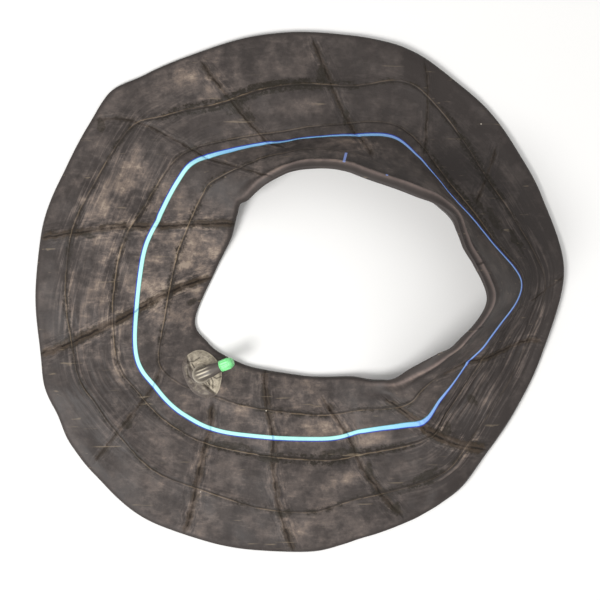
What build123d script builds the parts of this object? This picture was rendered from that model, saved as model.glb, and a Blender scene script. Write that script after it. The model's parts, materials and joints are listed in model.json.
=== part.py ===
from build123d import *
import math
import os

# Deflated rubber inner tube for an 8 inch rim, lying on a floor, with its bent-over rubber valve.
# Millimetres. +Z is up, Z = 0 is the floor, and X runs along the ring's longest extent.

# ---- Casing: the flattened ring --------------------------------------------------------------
OVERALL_X = 450.0          # ring's outer extent along X
OVERALL_Y = 442.0          # ring's outer extent along Y
WALL = 1.5                 # rubber wall
MIDDLE_HALF = 4.8          # half thickness of the flattened tube, halfway across the band
EDGE_HALF = 2.4            # half thickness where the tube folds at its two edges
TIP_REACH = 1.6            # how far the rounded fold reaches past the edge line
STRIPE_SHARE = 0.38        # the painted stripe's place across the band, from the inner edge
FOOT_END = 0.97            # where the floor contact ends, near the outer edge
FOOT_SKIM = 0.2            # rubber below the floor plane that is trimmed off to a true flat foot
CAVITY_END = 0.985         # the air space ends this far across the band

# Cross-sections, anticlockwise from the right: inner edge x, y and height of its underside,
# stripe x, y and height, outer edge x, y, and the share across where the band leaves the floor.
SECTIONS = [
    (152, -6, 76, 181, 4, 24, 224, 17, 0.82),        # right corner of the hole
    (134, 37, 74, 157, 43, 22, 206, 81, 0.80),
    (124, 59, 71, 138, 66, 20, 187, 118, 0.74),      # bend in the standing collar
    (108, 72, 66, 118, 87, 16, 163, 153, 0.68),
    (84, 83, 62, 97, 111, 13, 134, 179, 0.62),
    (56, 93, 59, 76, 128, 10, 99, 203, 0.58),        # upper right corner of the stripe
    (35, 100, 57, 43, 129, 9, 53, 217, 0.56),
    (11, 102, 54, 11, 126, 8, 7, 221, 0.55),
    (-10, 98, 50, -27, 122, 7, -42, 217, 0.54),
    (-29, 89, 40, -57, 118, 6, -88, 203, 0.52),
    (-44, 77, 22, -88, 110, 4, -129, 186, 0.50),     # upper left corner of the stripe
    (-53, 66, 9, -104, 92, 2, -166, 162, 0.46),
    (-59, 46, 3, -118, 65, 1, -198, 109, 0.42),
    (-72, 20, 0, -133, 28, 0, -220, 47, 0.06),       # from here the band lies flat
    (-90, -24, 0, -139, -50, 0, -218, -62, 0.06),
    (-80, -44, 0, -121, -83, 0, -201, -116, 0.06),   # left of the valve
    (-65, -56, 0, -97, -106, 0, -173, -157, 0.06),   # right of the valve
    (-43, -64, 0, -60, -121, 0, -118, -198, 0.06),
    (11, -70, 0, 19, -126, 0, 4, -220, 0.06),
    (41, -72, 2, 53, -119, 1, 56, -208, 0.42),       # from here the collar rises again
    (66, -75, 8, 85, -113, 3, 97, -191, 0.46),
    (79, -74, 24, 105, -106, 9, 129, -173, 0.56),    # lower right corner of the stripe
    (93, -64, 44, 116, -87, 14, 156, -141, 0.66),
    (112, -52, 62, 132, -62, 20, 182, -103, 0.74),
    (128, -42, 70, 151, -41, 23, 205, -55, 0.79),
]

# ---- Valve: where it stands and how far it leans ---------------------------------------------
VALVE_X = -82.5            # bending point of the stem, in plan
VALVE_Y = -69.5
VALVE_TURN = 22.5          # direction of the bent-over stem in plan, degrees from +X
VALVE_LEAN = 17.0          # its rise above the level at rest, degrees
PAD_LONG = 42.0            # moulded base pad, across the stem's direction
PAD_SHORT = 35.0           # moulded base pad, along it
PAD_THICK = 1.6
BOSS_RIM = 1.38            # rubber round the seat at the top of the pad's raised root
BOSS_SPREAD = 3.6          # how much wider the raised root is at its foot
BOSS_HEIGHT = 2.0
AIR_HOLE_R = 1.5           # air passage through casing, pad and root

# ---- Valve stem, measured along its axis from the bending point ------------------------------
STEM_R = 5.65              # straight barrel that plugs an 11.5 mm rim hole
ROOT_BULGE = 0.95          # how far the bulb at the root stands proud of the barrel
SEAT_ANGLE = 27.0          # half angle of the spherical seat, degrees
SEAT_CLEAR = 0.05
STEM_END = 19.0            # end face of the rubber
STEM_TAPER = 5.0           # length of the taper before that face
BRASS_FOOT = 5.0           # the brass insert's inner end
BRASS_COVER = 1.5          # rubber round the brass at the end face
GRIP_RIB_HEIGHT = 0.5      # ribs that lock the brass in the rubber
GRIP_RIB_WIDTH = 1.0
GRIP_RIB_STEP = 3.0
GRIP_RIB_COUNT = 3
THREAD_R = 3.85            # outer thread for cap and pump
THREAD_STEP = 0.55         # shoulder between the thread and the brass inside the rubber
THREAD_LENGTH = 7.5
THREAD_CHAMFER = 0.5
CORE_BORE_DEPTH = 7.0      # inner thread for the valve core
CORE_TAPER = 1.5           # length of the sealing cone below it
CORE_TAPER_STEP = 0.55     # how much the cone narrows

# ---- Valve core --------------------------------------------------------------------------------
CORE_CLEAR = 0.05
CORE_SINK = 0.6            # core head below the brass tip
HEAD_LENGTH = 3.0
HEAD_FLAT_CUT = 1.2        # depth of each of the two flats for the core tool
HEAD_FLAT_LENGTH = 1.6
BARREL_R = 1.75
BARREL_WALL = 0.55
BARREL_ROOM = 0.35         # air gap round the barrel in the brass
BARREL_LENGTH = 8.4
BARREL_FLOOR = 0.7
GASKET_LENGTH = 1.4
PIN_R = 0.6
PIN_TIP_R = 0.75
PIN_CLEAR = 0.1
PIN_TIP_BELOW = 0.15       # pin tip below the brass tip
PIN_COLLAR_GAP = 0.15
PIN_COLLAR_LENGTH = 0.5
PIN_COLLAR_DROP = 0.6      # collar below the barrel's top
CUP_INSET = 0.15           # cup's edge inside the barrel's
CUP_WALL = 0.25
CUP_LENGTH = 1.2
CUP_FLOOR = 0.5
CUP_SEAL_PROUD = 0.25      # rubber standing above the cup's rim
PIN_TAIL = 0.4             # riveted tail under the cup
SPRING_WIRE = 0.28
SPRING_CLEAR = 0.05

# ---- Valve cap ---------------------------------------------------------------------------------
CAP_WALL = 0.97            # round the thread
CAP_GAP = 0.35             # between the rubber's end and the cap's mouth
CAP_THREAD_CLEAR = 0.08
CAP_END_WALL = 3.25        # solid end past the seal
CAP_END_LENGTH = 2.4       # tapered end
CAP_END_TAPER = 1.6        # how much the end narrows
CAP_SEAL_THICK = 1.2
CAP_SEAL_INSET = 0.35      # seal's edge inside the thread's radius
CAP_SEAL_GAP = 0.05
GRIP_COUNT = 12            # finger grooves
GRIP_R = 0.45
GRIP_START = 1.2
GRIP_LENGTH = 7.2

# ---- Worked-out values -------------------------------------------------------------------------
DRAWN_X = max(row[6] for row in SECTIONS) - min(row[6] for row in SECTIONS)
DRAWN_Y = max(row[7] for row in SECTIONS) - min(row[7] for row in SECTIONS)
STRETCH_X = (OVERALL_X - 2 * TIP_REACH) / DRAWN_X
STRETCH_Y = (OVERALL_Y - 2 * TIP_REACH) / DRAWN_Y
PIVOT_X = VALVE_X * STRETCH_X
PIVOT_Y = VALVE_Y * STRETCH_Y
ROOT_BALL_R = STEM_R + ROOT_BULGE
SEAT_R = ROOT_BALL_R + SEAT_CLEAR
STEM_STRAIGHT = STEM_END - STEM_TAPER
BRASS_R = THREAD_R - THREAD_STEP
GRIP_RIB_R = BRASS_R + GRIP_RIB_HEIGHT
STEM_END_R = BRASS_R + BRASS_COVER
BARREL_BORE_R = BARREL_R - BARREL_WALL
LOWER_BORE_R = BARREL_R + BARREL_ROOM
CORE_BORE_R = LOWER_BORE_R + CORE_TAPER_STEP
PIN_COLLAR_R = BARREL_BORE_R - PIN_COLLAR_GAP
CUP_R = BARREL_R - CUP_INSET
CAP_BORE_R = THREAD_R + CAP_THREAD_CLEAR
CAP_R = CAP_BORE_R + CAP_WALL
BRASS_TIP = STEM_END + THREAD_LENGTH
CORE_BORE_START = BRASS_TIP - CORE_BORE_DEPTH
HEAD_TOP = BRASS_TIP - CORE_SINK
BARREL_TOP = HEAD_TOP - HEAD_LENGTH
BARREL_START = BARREL_TOP - BARREL_LENGTH
PIN_TOP = BRASS_TIP - PIN_TIP_BELOW
COLLAR_START = BARREL_TOP - PIN_COLLAR_DROP - PIN_COLLAR_LENGTH
CUP_TOP = BARREL_START - CUP_SEAL_PROUD - CORE_CLEAR
CUP_START = CUP_TOP - CUP_LENGTH
PIN_START = CUP_START - PIN_TAIL
CAP_START = STEM_END + CAP_GAP
CAP_SEAL_START = BRASS_TIP + CAP_SEAL_GAP
CAP_POCKET_END = CAP_SEAL_START + CAP_SEAL_THICK + CAP_SEAL_GAP
CAP_END = CAP_POCKET_END + CAP_END_WALL

BOTTOM = (Align.CENTER, Align.CENTER, Align.MIN)
UNDER_SHARES = (0.9, 0.7, 0.4, 0.12)    # underside points, as shares of the raised part
TOP_SHARES = (0.02, 0.1, 0.2, 0.3, 0.38, 0.5, 0.64, 0.8, 0.92, 0.98)


def rod(radius, start, end):
    """Cylinder on the stem's axis between two distances from the bending point."""
    return Pos(0, 0, start) * Cylinder(radius, end - start, align=BOTTOM)


def cone(radius, end_radius, start, end):
    """Cone on the stem's axis between two distances from the bending point."""
    return Pos(0, 0, start) * Cone(radius, end_radius, end - start, align=BOTTOM)


class BandSection:
    """One cross-section of the flattened tube, drawn smaller by `inset` for the air space."""

    def __init__(self, row, inset):
        inner_x, inner_y, self.inner_rise = row[0:3]
        stripe_x, stripe_y, self.stripe_rise = row[3:6]
        outer_x, outer_y, self.foot = row[6:9]
        self.inner = Vector(inner_x * STRETCH_X, inner_y * STRETCH_Y)
        self.stripe = Vector(stripe_x * STRETCH_X, stripe_y * STRETCH_Y)
        self.outer = Vector(outer_x * STRETCH_X, outer_y * STRETCH_Y)
        self.inset = inset

    def half(self, share):
        """Half thickness: thin at the two folded edges and fullest in the middle."""
        fullness = (4 * share * (1 - share)) ** 0.6
        return EDGE_HALF + (MIDDLE_HALF - EDGE_HALF) * fullness

    def rise(self, share):
        """Height of the underside above the floor."""
        if share >= self.foot:
            return 0.0
        if self.foot <= STRIPE_SHARE:
            return self.inner_rise * (1 - share / self.foot) ** 2
        if share <= STRIPE_SHARE:
            return self.inner_rise + (self.stripe_rise - self.inner_rise) * share / STRIPE_SHARE
        return self.stripe_rise * ((self.foot - share) / (self.foot - STRIPE_SHARE)) ** 2

    def middle(self, share):
        """Point halfway through the thickness."""
        if share <= STRIPE_SHARE:
            plan = self.inner + (self.stripe - self.inner) * (share / STRIPE_SHARE)
        else:
            past_stripe = (share - STRIPE_SHARE) / (1 - STRIPE_SHARE)
            plan = self.stripe + (self.outer - self.stripe) * past_stripe
        return plan + Vector(0, 0, self.rise(share) + self.half(share))

    def across(self, share):
        """Direction across the band, from the inner edge to the outer edge."""
        return (self.middle(min(share + 0.02, 1)) - self.middle(max(share - 0.02, 0))).normalized()

    def side(self, share, sign):
        """Point on the top (sign 1) or the underside (sign -1)."""
        across = self.across(share)
        upright = (Vector(0, 0, 1) - across * across.Z).normalized()
        return self.middle(share) + upright * (sign * (self.half(share) - self.inset))

    def wire(self):
        """Closed outline: top, inner underside, flat foot and outer corner."""
        reach = TIP_REACH - self.inset
        inner_tip = self.middle(0) - self.across(0) * reach
        outer_tip = self.middle(1) + self.across(1) * reach
        foot_z = self.inset if self.inset else -FOOT_SKIM
        foot_inner = self.middle(self.foot)
        foot_outer = self.middle(FOOT_END)
        foot_inner.Z = foot_z
        foot_outer.Z = foot_z
        top = [inner_tip] + [self.side(share, 1) for share in TOP_SHARES] + [outer_tip]
        under = [foot_inner] + [self.side(self.foot * share, -1) for share in UNDER_SHARES]
        edges = [
            Edge.make_spline(top),
            Edge.make_line(outer_tip, foot_outer),
            Edge.make_line(foot_outer, foot_inner),
            Edge.make_spline(under + [inner_tip]),
        ]
        return Wire(edges)


def between(before, left, right, after):
    """Extra cross-section halfway between two others, on a smooth curve through all four."""
    row = [(9 * (b + c) - a - d) / 16 for a, b, c, d in zip(before, left, right, after)]
    row[2] = max(row[2], 0)
    row[5] = max(row[5], 0)
    if left[2] == 0 and right[2] == 0:
        row[2] = 0
        row[5] = 0
        row[8] = left[8]
    return row


def ring(inset):
    """Closed ring through every cross-section: the last section is the first one again."""
    count = len(SECTIONS)
    rows = []
    for i, row in enumerate(SECTIONS):
        following = SECTIONS[(i + 1) % count]
        after = SECTIONS[(i + 2) % count]
        rows.append(row)
        rows.append(between(SECTIONS[i - 1], row, following, after))
    wires = [BandSection(row, inset).wire() for row in rows]
    return Solid.make_loft(wires + [wires[0]], ruled=True)


def top_height(solid):
    """Height of a solid's upper surface at the valve."""
    probe = solid & Pos(PIVOT_X, PIVOT_Y, 0) * Cylinder(AIR_HOLE_R, 2 * OVERALL_X, align=BOTTOM)
    return probe.bounding_box().max.Z


# ---- Casing ------------------------------------------------------------------------------------
above_floor = Box(2 * OVERALL_X, 2 * OVERALL_Y, OVERALL_X, align=BOTTOM)
casing_outer = ring(0) & above_floor
casing_top = top_height(casing_outer)
air_hole = Pos(PIVOT_X, PIVOT_Y, casing_top / 2) * Cylinder(AIR_HOLE_R, casing_top, align=BOTTOM)
tube_casing = casing_outer - ring(WALL) - air_hole

# ---- Base pad: a constant layer on the casing's own surface, with a raised root ------------------
pad_top = casing_top + PAD_THICK
boss_top = pad_top + BOSS_HEIGHT
pad_outline = Pos(PIVOT_X, PIVOT_Y, 0) * Rot(0, 0, VALVE_TURN) * Ellipse(PAD_SHORT / 2, PAD_LONG / 2)
pad_column = extrude(pad_outline, boss_top)
pad_layer = (Pos(0, 0, PAD_THICK) * casing_outer) & pad_column
seat_angle = math.radians(SEAT_ANGLE)
boss_top_r = SEAT_R * math.sin(seat_angle) + BOSS_RIM
boss = Cone(boss_top_r + BOSS_SPREAD, boss_top_r, PAD_THICK + BOSS_HEIGHT, align=BOTTOM)
boss = Pos(PIVOT_X, PIVOT_Y, casing_top) * boss
pivot = Vector(PIVOT_X, PIVOT_Y, boss_top + SEAT_R * math.cos(seat_angle))
seat = Pos(*pivot) * Sphere(SEAT_R)
pad_hole = Pos(PIVOT_X, PIVOT_Y, 0) * Cylinder(AIR_HOLE_R, 2 * boss_top, align=BOTTOM)
valve_pad = pad_layer + boss - casing_outer - seat - pad_hole

# ---- Stem, drawn upright on its own axis ---------------------------------------------------------
brass_stem = rod(BRASS_R, BRASS_FOOT, STEM_END)
for rib in range(GRIP_RIB_COUNT):
    rib_start = BRASS_FOOT + GRIP_RIB_STEP * (rib + 0.5)
    brass_stem += rod(GRIP_RIB_R, rib_start, rib_start + GRIP_RIB_WIDTH)
rubber_stem = Sphere(ROOT_BALL_R) + rod(STEM_R, 0, STEM_STRAIGHT)
rubber_stem += cone(STEM_R, STEM_END_R, STEM_STRAIGHT, STEM_END)
rubber_stem -= brass_stem + rod(AIR_HOLE_R, 0, BRASS_FOOT)
upright_at_rest = Rot(0, VALVE_LEAN - 90, 0)
rubber_stem -= upright_at_rest * rod(AIR_HOLE_R, -ROOT_BALL_R, 0)
thread_end = BRASS_TIP - THREAD_CHAMFER
brass_stem += rod(THREAD_R, STEM_END, thread_end)
brass_stem += cone(THREAD_R, THREAD_R - THREAD_CHAMFER, thread_end, BRASS_TIP)
taper_start = CORE_BORE_START - CORE_TAPER
brass_stem -= rod(LOWER_BORE_R, BRASS_FOOT, taper_start)
brass_stem -= cone(LOWER_BORE_R, CORE_BORE_R, taper_start, CORE_BORE_START)
brass_stem -= rod(CORE_BORE_R, CORE_BORE_START, BRASS_TIP)

# ---- Valve core, inside the brass ----------------------------------------------------------------
core_head = rod(CORE_BORE_R - CORE_CLEAR, BARREL_TOP, HEAD_TOP)
core_head -= rod(PIN_TIP_R + PIN_CLEAR, BARREL_TOP, HEAD_TOP)
tool_slot = Box(4 * CORE_BORE_R, 2 * CORE_BORE_R, HEAD_FLAT_LENGTH, align=BOTTOM)
for side in (-1, 1):
    slot_y = side * (2 * CORE_BORE_R - HEAD_FLAT_CUT)
    core_head -= Pos(0, slot_y, HEAD_TOP - HEAD_FLAT_LENGTH) * tool_slot
core_barrel = rod(BARREL_R, BARREL_START, BARREL_TOP)
core_barrel -= rod(BARREL_BORE_R, BARREL_START + BARREL_FLOOR, BARREL_TOP)
core_barrel -= rod(PIN_R + PIN_CLEAR, BARREL_START, BARREL_TOP)
gasket_start = CORE_BORE_START - GASKET_LENGTH
gasket_slope = (CORE_BORE_R - LOWER_BORE_R) / CORE_TAPER
gasket_end_r = CORE_BORE_R - CORE_CLEAR
gasket_start_r = gasket_end_r - gasket_slope * GASKET_LENGTH
barrel_gasket = cone(gasket_start_r, gasket_end_r, gasket_start, CORE_BORE_START)
barrel_gasket -= rod(BARREL_R, gasket_start, CORE_BORE_START)
spring_r = BARREL_BORE_R - SPRING_CLEAR
spring_start = BARREL_START + BARREL_FLOOR + SPRING_CLEAR
spring_end = COLLAR_START - SPRING_CLEAR
core_spring = rod(spring_r, spring_start, spring_end)
core_spring -= rod(spring_r - SPRING_WIRE, spring_start, spring_end)
core_pin = rod(PIN_R, PIN_START, PIN_TOP) + rod(PIN_TIP_R, HEAD_TOP, PIN_TOP)
core_pin += rod(PIN_COLLAR_R, COLLAR_START, COLLAR_START + PIN_COLLAR_LENGTH)
core_pin += rod(2 * PIN_R, PIN_START, CUP_START)
core_cup = rod(CUP_R, CUP_START, CUP_TOP) - rod(CUP_R - CUP_WALL, CUP_START + CUP_FLOOR, CUP_TOP)
core_cup -= rod(PIN_R, CUP_START, CUP_TOP)
cup_seal = rod(CUP_R - CUP_WALL, CUP_START + CUP_FLOOR, CUP_TOP + CUP_SEAL_PROUD)
cup_seal -= rod(PIN_R, CUP_START, CUP_TOP + CUP_SEAL_PROUD)

# ---- Cap and its seal ----------------------------------------------------------------------------
taper_at = CAP_END - CAP_END_LENGTH
valve_cap = rod(CAP_R, CAP_START, taper_at) + cone(CAP_R, CAP_R - CAP_END_TAPER, taper_at, CAP_END)
valve_cap -= rod(CAP_BORE_R, CAP_START, CAP_POCKET_END)
grip_groove = Pos(CAP_R, 0, CAP_START + GRIP_START) * Cylinder(GRIP_R, GRIP_LENGTH, align=BOTTOM)
for groove in range(GRIP_COUNT):
    valve_cap -= Rot(0, 0, groove * 360 / GRIP_COUNT) * grip_groove
cap_seal = rod(THREAD_R - CAP_SEAL_INSET, CAP_SEAL_START, CAP_SEAL_START + CAP_SEAL_THICK)

# ---- Everything in place, with the ring's middle over the origin ---------------------------------
middle = casing_outer.bounding_box().center()
to_origin = Pos(-middle.X, -middle.Y, 0)
stem_place = Pos(*pivot) * Rot(0, 0, VALVE_TURN) * Rot(0, 90 - VALVE_LEAN, 0)
on_floor = {"tube_casing": tube_casing, "valve_pad": valve_pad}
on_stem = {
    "rubber_stem": rubber_stem,
    "brass_stem": brass_stem,
    "core_head": core_head,
    "core_barrel": core_barrel,
    "barrel_gasket": barrel_gasket,
    "core_spring": core_spring,
    "core_pin": core_pin,
    "core_cup": core_cup,
    "cup_seal": cup_seal,
    "cap_seal": cap_seal,
    "valve_cap": valve_cap,
}
os.makedirs("parts", exist_ok=True)
for name, shape in on_floor.items():
    export_step(to_origin * shape, f"parts/{name}.step")
for name, shape in on_stem.items():
    export_step(to_origin * stem_place * shape, f"parts/{name}.step")
print("stem pivot, mm:", [round(value, 3) for value in pivot - Vector(middle.X, middle.Y, 0)])
print("casing top at the valve, mm:", round(casing_top, 3))
print("middle moved by, mm:", round(middle.X, 3), round(middle.Y, 3))
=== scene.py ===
"""Deflated inner tube with its bent-over rubber valve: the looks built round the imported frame."""
import json
import math

import bpy
import numpy as np
from mathutils import Matrix, Vector
from mathutils.bvhtree import BVHTree


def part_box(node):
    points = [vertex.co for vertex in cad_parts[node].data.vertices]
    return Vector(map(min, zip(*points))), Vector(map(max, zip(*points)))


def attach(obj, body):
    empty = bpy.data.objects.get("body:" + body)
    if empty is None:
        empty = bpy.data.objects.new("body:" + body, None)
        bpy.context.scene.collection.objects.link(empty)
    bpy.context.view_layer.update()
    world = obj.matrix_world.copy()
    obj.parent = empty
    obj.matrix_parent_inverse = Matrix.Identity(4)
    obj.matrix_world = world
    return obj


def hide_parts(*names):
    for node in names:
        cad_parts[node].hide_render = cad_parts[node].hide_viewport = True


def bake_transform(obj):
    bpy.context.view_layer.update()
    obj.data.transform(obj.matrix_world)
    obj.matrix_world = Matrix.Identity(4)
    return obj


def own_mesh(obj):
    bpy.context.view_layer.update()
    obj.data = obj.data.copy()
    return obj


bl_info = {
    "name": "Inner Tube Workshop",
    "version": (1, 0, 0),
    "blender": (4, 5, 0),
    "location": "3D View > Sidebar > Inner Tube",
    "description": "Makes the slack rubber casing, the moulded valve, its core and cap, and a pale stage",
    "category": "Object",
}

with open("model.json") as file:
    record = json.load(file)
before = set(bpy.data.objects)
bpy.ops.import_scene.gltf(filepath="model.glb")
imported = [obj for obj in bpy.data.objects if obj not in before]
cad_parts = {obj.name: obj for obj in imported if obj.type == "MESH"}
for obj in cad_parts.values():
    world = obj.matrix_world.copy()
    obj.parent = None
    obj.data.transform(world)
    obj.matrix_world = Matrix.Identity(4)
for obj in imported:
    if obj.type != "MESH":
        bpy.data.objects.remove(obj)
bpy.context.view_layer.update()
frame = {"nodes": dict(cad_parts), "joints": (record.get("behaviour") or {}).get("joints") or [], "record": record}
MM = 0.001

# ---- Casing: the flattened ring ---------------------------------------------------------------
SECTIONS = np.array([
    # inner edge x, y, underside height; stripe x, y, height; outer edge x, y, all in mm; share where it lands
    (152, -6, 76, 181, 4, 24, 224, 17, 0.82),
    (134, 37, 74, 157, 43, 22, 206, 81, 0.80),
    (124, 59, 71, 138, 66, 20, 187, 118, 0.74),
    (108, 72, 66, 118, 87, 16, 163, 153, 0.68),
    (84, 83, 62, 97, 111, 13, 134, 179, 0.62),
    (56, 93, 59, 76, 128, 10, 99, 203, 0.58),
    (35, 100, 57, 43, 129, 9, 53, 217, 0.56),
    (11, 102, 54, 11, 126, 8, 7, 221, 0.55),
    (-10, 98, 50, -27, 122, 7, -42, 217, 0.54),
    (-29, 89, 40, -57, 118, 6, -88, 203, 0.52),
    (-44, 77, 22, -88, 110, 4, -129, 186, 0.50),
    (-53, 66, 9, -104, 92, 2, -166, 162, 0.46),
    (-59, 46, 3, -118, 65, 1, -198, 109, 0.42),
    (-72, 20, 0, -133, 28, 0, -220, 47, 0.06),
    (-90, -24, 0, -139, -50, 0, -218, -62, 0.06),
    (-80, -44, 0, -121, -83, 0, -201, -116, 0.06),
    (-65, -56, 0, -97, -106, 0, -173, -157, 0.06),
    (-43, -64, 0, -60, -121, 0, -118, -198, 0.06),
    (11, -70, 0, 19, -126, 0, 4, -220, 0.06),
    (41, -72, 2, 53, -119, 1, 56, -208, 0.42),
    (66, -75, 8, 85, -113, 3, 97, -191, 0.46),
    (79, -74, 24, 105, -106, 9, 129, -173, 0.56),
    (93, -64, 44, 116, -87, 14, 156, -141, 0.66),
    (112, -52, 62, 132, -62, 20, 182, -103, 0.74),
    (128, -42, 70, 151, -41, 23, 205, -55, 0.79),
]) * ([MM] * 8 + [1])
TURN = float(len(SECTIONS))       # a place round the ring is counted in sections
SEAM_AT = 7.0                     # the mesh starts and closes at this section, at the top
STRIPE_SHARE = 0.38               # the painted stripe's place across the band
MIDDLE_HALF = 4.8 * MM            # half thickness halfway across the flattened tube
EDGE_HALF = 2.4 * MM              # half thickness where it folds at its two edges
TIP_SHARE = 0.012                 # the rounded fold reaches this far past the edge line
TIP_REACH = 1.6 * MM
COLUMNS = 640
ROUND_ROWS = 6
MIDDLE_ROWS = 110
UNDER_ROWS = 16
LEAST_LANDING = 0.06              # the band never lands nearer its inner edge than this share
LENGTH_STEPS = 2501               # samples round the ring from which its length is measured
BOX_MARGIN = 0.25 * MM            # kept free inside the CAD casing's box
CLEAR_OF_FLOOR = 0.8 * MM         # the upper skin stays this far above the floor
QUAD_CORNERS = ((0, 0), (0, 1), (1, 1), (1, 0))     # a face's corners, by column and row
FAR_AWAY = 0.05                   # distance stored where no fold, stripe or tick is near

FOLDS_ACROSS = np.array([
    # place at the inner edge, halfway, at the outer edge; share from, to; height mm; mark strength
    (1.50, 2.00, 2.65, 0.49, 0.88, -0.8, 0.75),
    (3.30, 4.00, 4.85, 0.42, 0.97, 1.0, 0.70),
    (4.80, 6.15, 6.95, 0.16, 0.96, -1.1, 0.80),
    (6.70, 8.25, 9.00, 0.29, 0.94, 1.3, 0.80),
    (8.60, 10.0, 11.3, 0.03, 0.99, -1.8, 0.70),
    (11.5, 12.5, 13.0, 0.00, 1.00, 1.8, 1.00),
    (13.2, 13.65, 13.9, 0.00, 1.00, -1.7, 1.10),
    (13.9, 15.15, 15.85, 0.28, 0.96, 1.3, 0.75),
    (16.0, 16.85, 17.2, 0.26, 1.00, -1.5, 0.95),
    (17.3, 17.55, 17.9, 0.00, 1.00, 1.5, 0.90),
    (17.9, 18.8, 19.8, 0.14, 0.95, -1.3, 0.90),
    (19.4, 21.0, 22.15, 0.16, 0.97, 1.6, 1.10),
    (21.5, 23.65, 24.15, 0.20, 0.95, -1.3, 0.90),
    (24.0, 24.6, 24.95, 0.60, 1.00, 0.9, 0.65),
    (0.62, 0.64, 0.66, 0.00, 0.08, -0.3, 0.60),
    (24.35, 24.37, 24.4, 0.00, 0.09, -0.3, 0.60),
])
FOLDS_AROUND = (
    # (height mm, ((place, share), ...), ((place, strength), ...))
    (1.1,
     ((0, 0.68), (2, 0.67), (4, 0.77), (5, 0.81), (6, 0.70), (7.4, 0.72), (8.2, 0.70), (8.9, 0.675),
      (9.5, 0.70), (10.1, 0.72), (10.9, 0.79), (13.3, 0.83),
      (14, 0.78), (15.5, 0.73), (16.5, 0.76), (17.1, 0.72), (17.8, 0.80), (18.4, 0.76), (20, 0.79),
      (21, 0.82), (23, 0.83), (24.8, 0.82)),
     ((0, 0.4), (1.6, 1.2), (3.8, 1.2), (5, 0.7), (6, 1.1), (7, 1.35), (9, 1.4), (11, 0.9), (18.5, 0.9),
      (20.3, 1.25), (22, 0.5), (24.5, 0.3))),
    (-0.9,
     ((0.7, 0.42), (3, 0.45), (5, 0.49), (8, 0.45), (11.8, 0.48), (13.4, 0.53), (15, 0.48),
      (17, 0.47), (18.5, 0.51), (21, 0.54), (24, 0.46)),
     ((0, 0.5), (1.2, 1.3), (3.5, 1.3), (5, 0.5), (7, 0.6), (12, 0.9), (17, 1), (18, 1.3), (20.5, 1),
      (22, 0.6))),
    (0.8,
     ((0, 0.15), (5, 0.10), (7, 0.20), (9.5, 0.20), (12, 0.22), (14, 0.19), (14.6, 0.30),
      (16.5, 0.20), (18, 0.23), (20, 0.23), (22, 0.17)),
     ((0, 0.1), (5, 0.1), (8, 0.7), (10, 1), (14, 1), (15.3, 0.5), (17, 0.9), (21, 0.9), (23, 0.3))),
)
HAZINESS_AND_HIGHLIGHT_AT = (0.20, 0.60, 0.88)        # shares across the band where the dust and the painted highlight are given
HAZINESS_AND_HIGHLIGHT_ROUND = (
    # (place, dust) near the inner edge, in the middle, near the outer edge; near the outer edge the high value at
    # place 9 is a painted highlight on the band's bulge
    ((0, -0.1), (1, 0.15), (2, 0.4), (3, 0.35), (4, 0.1), (5, 0.4), (6, 0.6), (7, 0.6), (8, 0.45), (9, 0.4),
     (10, 0.1), (11, 0.45), (12, 0.8), (13, 1.15), (14, 0.65), (15, 0.5), (17, 0.7), (18, 0.65), (19, 0.4),
     (20, 0.15), (21, 0.3), (22, 0.4), (23, 0.35), (24, 0.4)),
    ((0, 0.05), (2, 0.15), (4, 0.0), (5, -0.15), (6, 0.0), (7, 0.2), (10, 0.2), (11, 0.45), (12, 0.8),
     (13, 0.9), (14, 0.6), (15, 0.4), (16, 0.4), (18, 0.5), (19, 0.35), (20, 0.25), (21, 0.05), (22, 0.25),
     (23, 0.1), (24, 0.2)),
    ((0, -0.15), (1, 0.05), (3, 0.05), (4, -0.2), (5, -0.3), (6, 0.05), (7, 0.4), (8, 0.3), (9, 0.8),
     (10, 0.4), (11, 0.25), (12, 0.5), (13, 0.1), (14, 0.2), (15, -0.05), (16, 0.2), (17, 0.45), (18, 0.35),
     (19, 0.6), (20, 0.1), (21, 0.0), (22, 0.1), (24, -0.1)),
)
STRIPE_ROUND = ((0, 1), (4, 1), (5.2, 1.5), (8, 1.5), (9.5, 1.3), (10.5, 1), (20, 1))   # place, width factor
# Place, how pale and wide the stripe is. Its paleness is painted light: a highlight at the left and bottom, shade
# at the top and right
INK_ROUND = ((0, 0.05), (4, 0.12), (6, 0.42), (9, 0.52), (10, 0.75), (11, 1.0), (15, 1.05), (18, 0.9),
             (20, 0.6), (21, 0.3), (23, 0.1))
STREAKS_ROUND = ((0, 0.9), (1.5, 0.4), (3, 0.2), (7, 0.1), (9, 0.15), (11, 0.6), (13.5, 0.70), (16, 0.22),
                 (18, 0.16), (20, 0.25), (21.5, 1.0), (24, 1.3))
COLLAR_ROUND = ((0, 1), (6, 1), (9, 0.6), (11, 0.1), (13, 0), (19, 0), (21, 0.6), (22.5, 1))
CORNERS_ROUND = (                  # place, how far the outer edge juts out in mm
    (0, -1.3), (1.5, -2.3), (3, -2.3), (4.5, -1.2), (5.4, 1.0), (6.4, -0.5), (7.2, 0.5), (8, 0), (10.2, -0.3),
    (10.75, 2.0), (11.3, -2.2), (12.6, -2.8), (13.1, -1.8), (13.5, 1.5), (13.9, -1.0), (14.25, 0.5),
    (14.75, -2.5), (15.2, -0.5), (15.5, -1.5), (16.6, -0.8), (17.1, 1.3), (17.5, 5.8), (17.9, 2.0),
    (18.4, -1.3), (19, 0.6), (20, 2), (20.8, -0.5), (21.3, 0.3), (22, -1.3), (23.5, -2), (24.5, -1.7))
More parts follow.
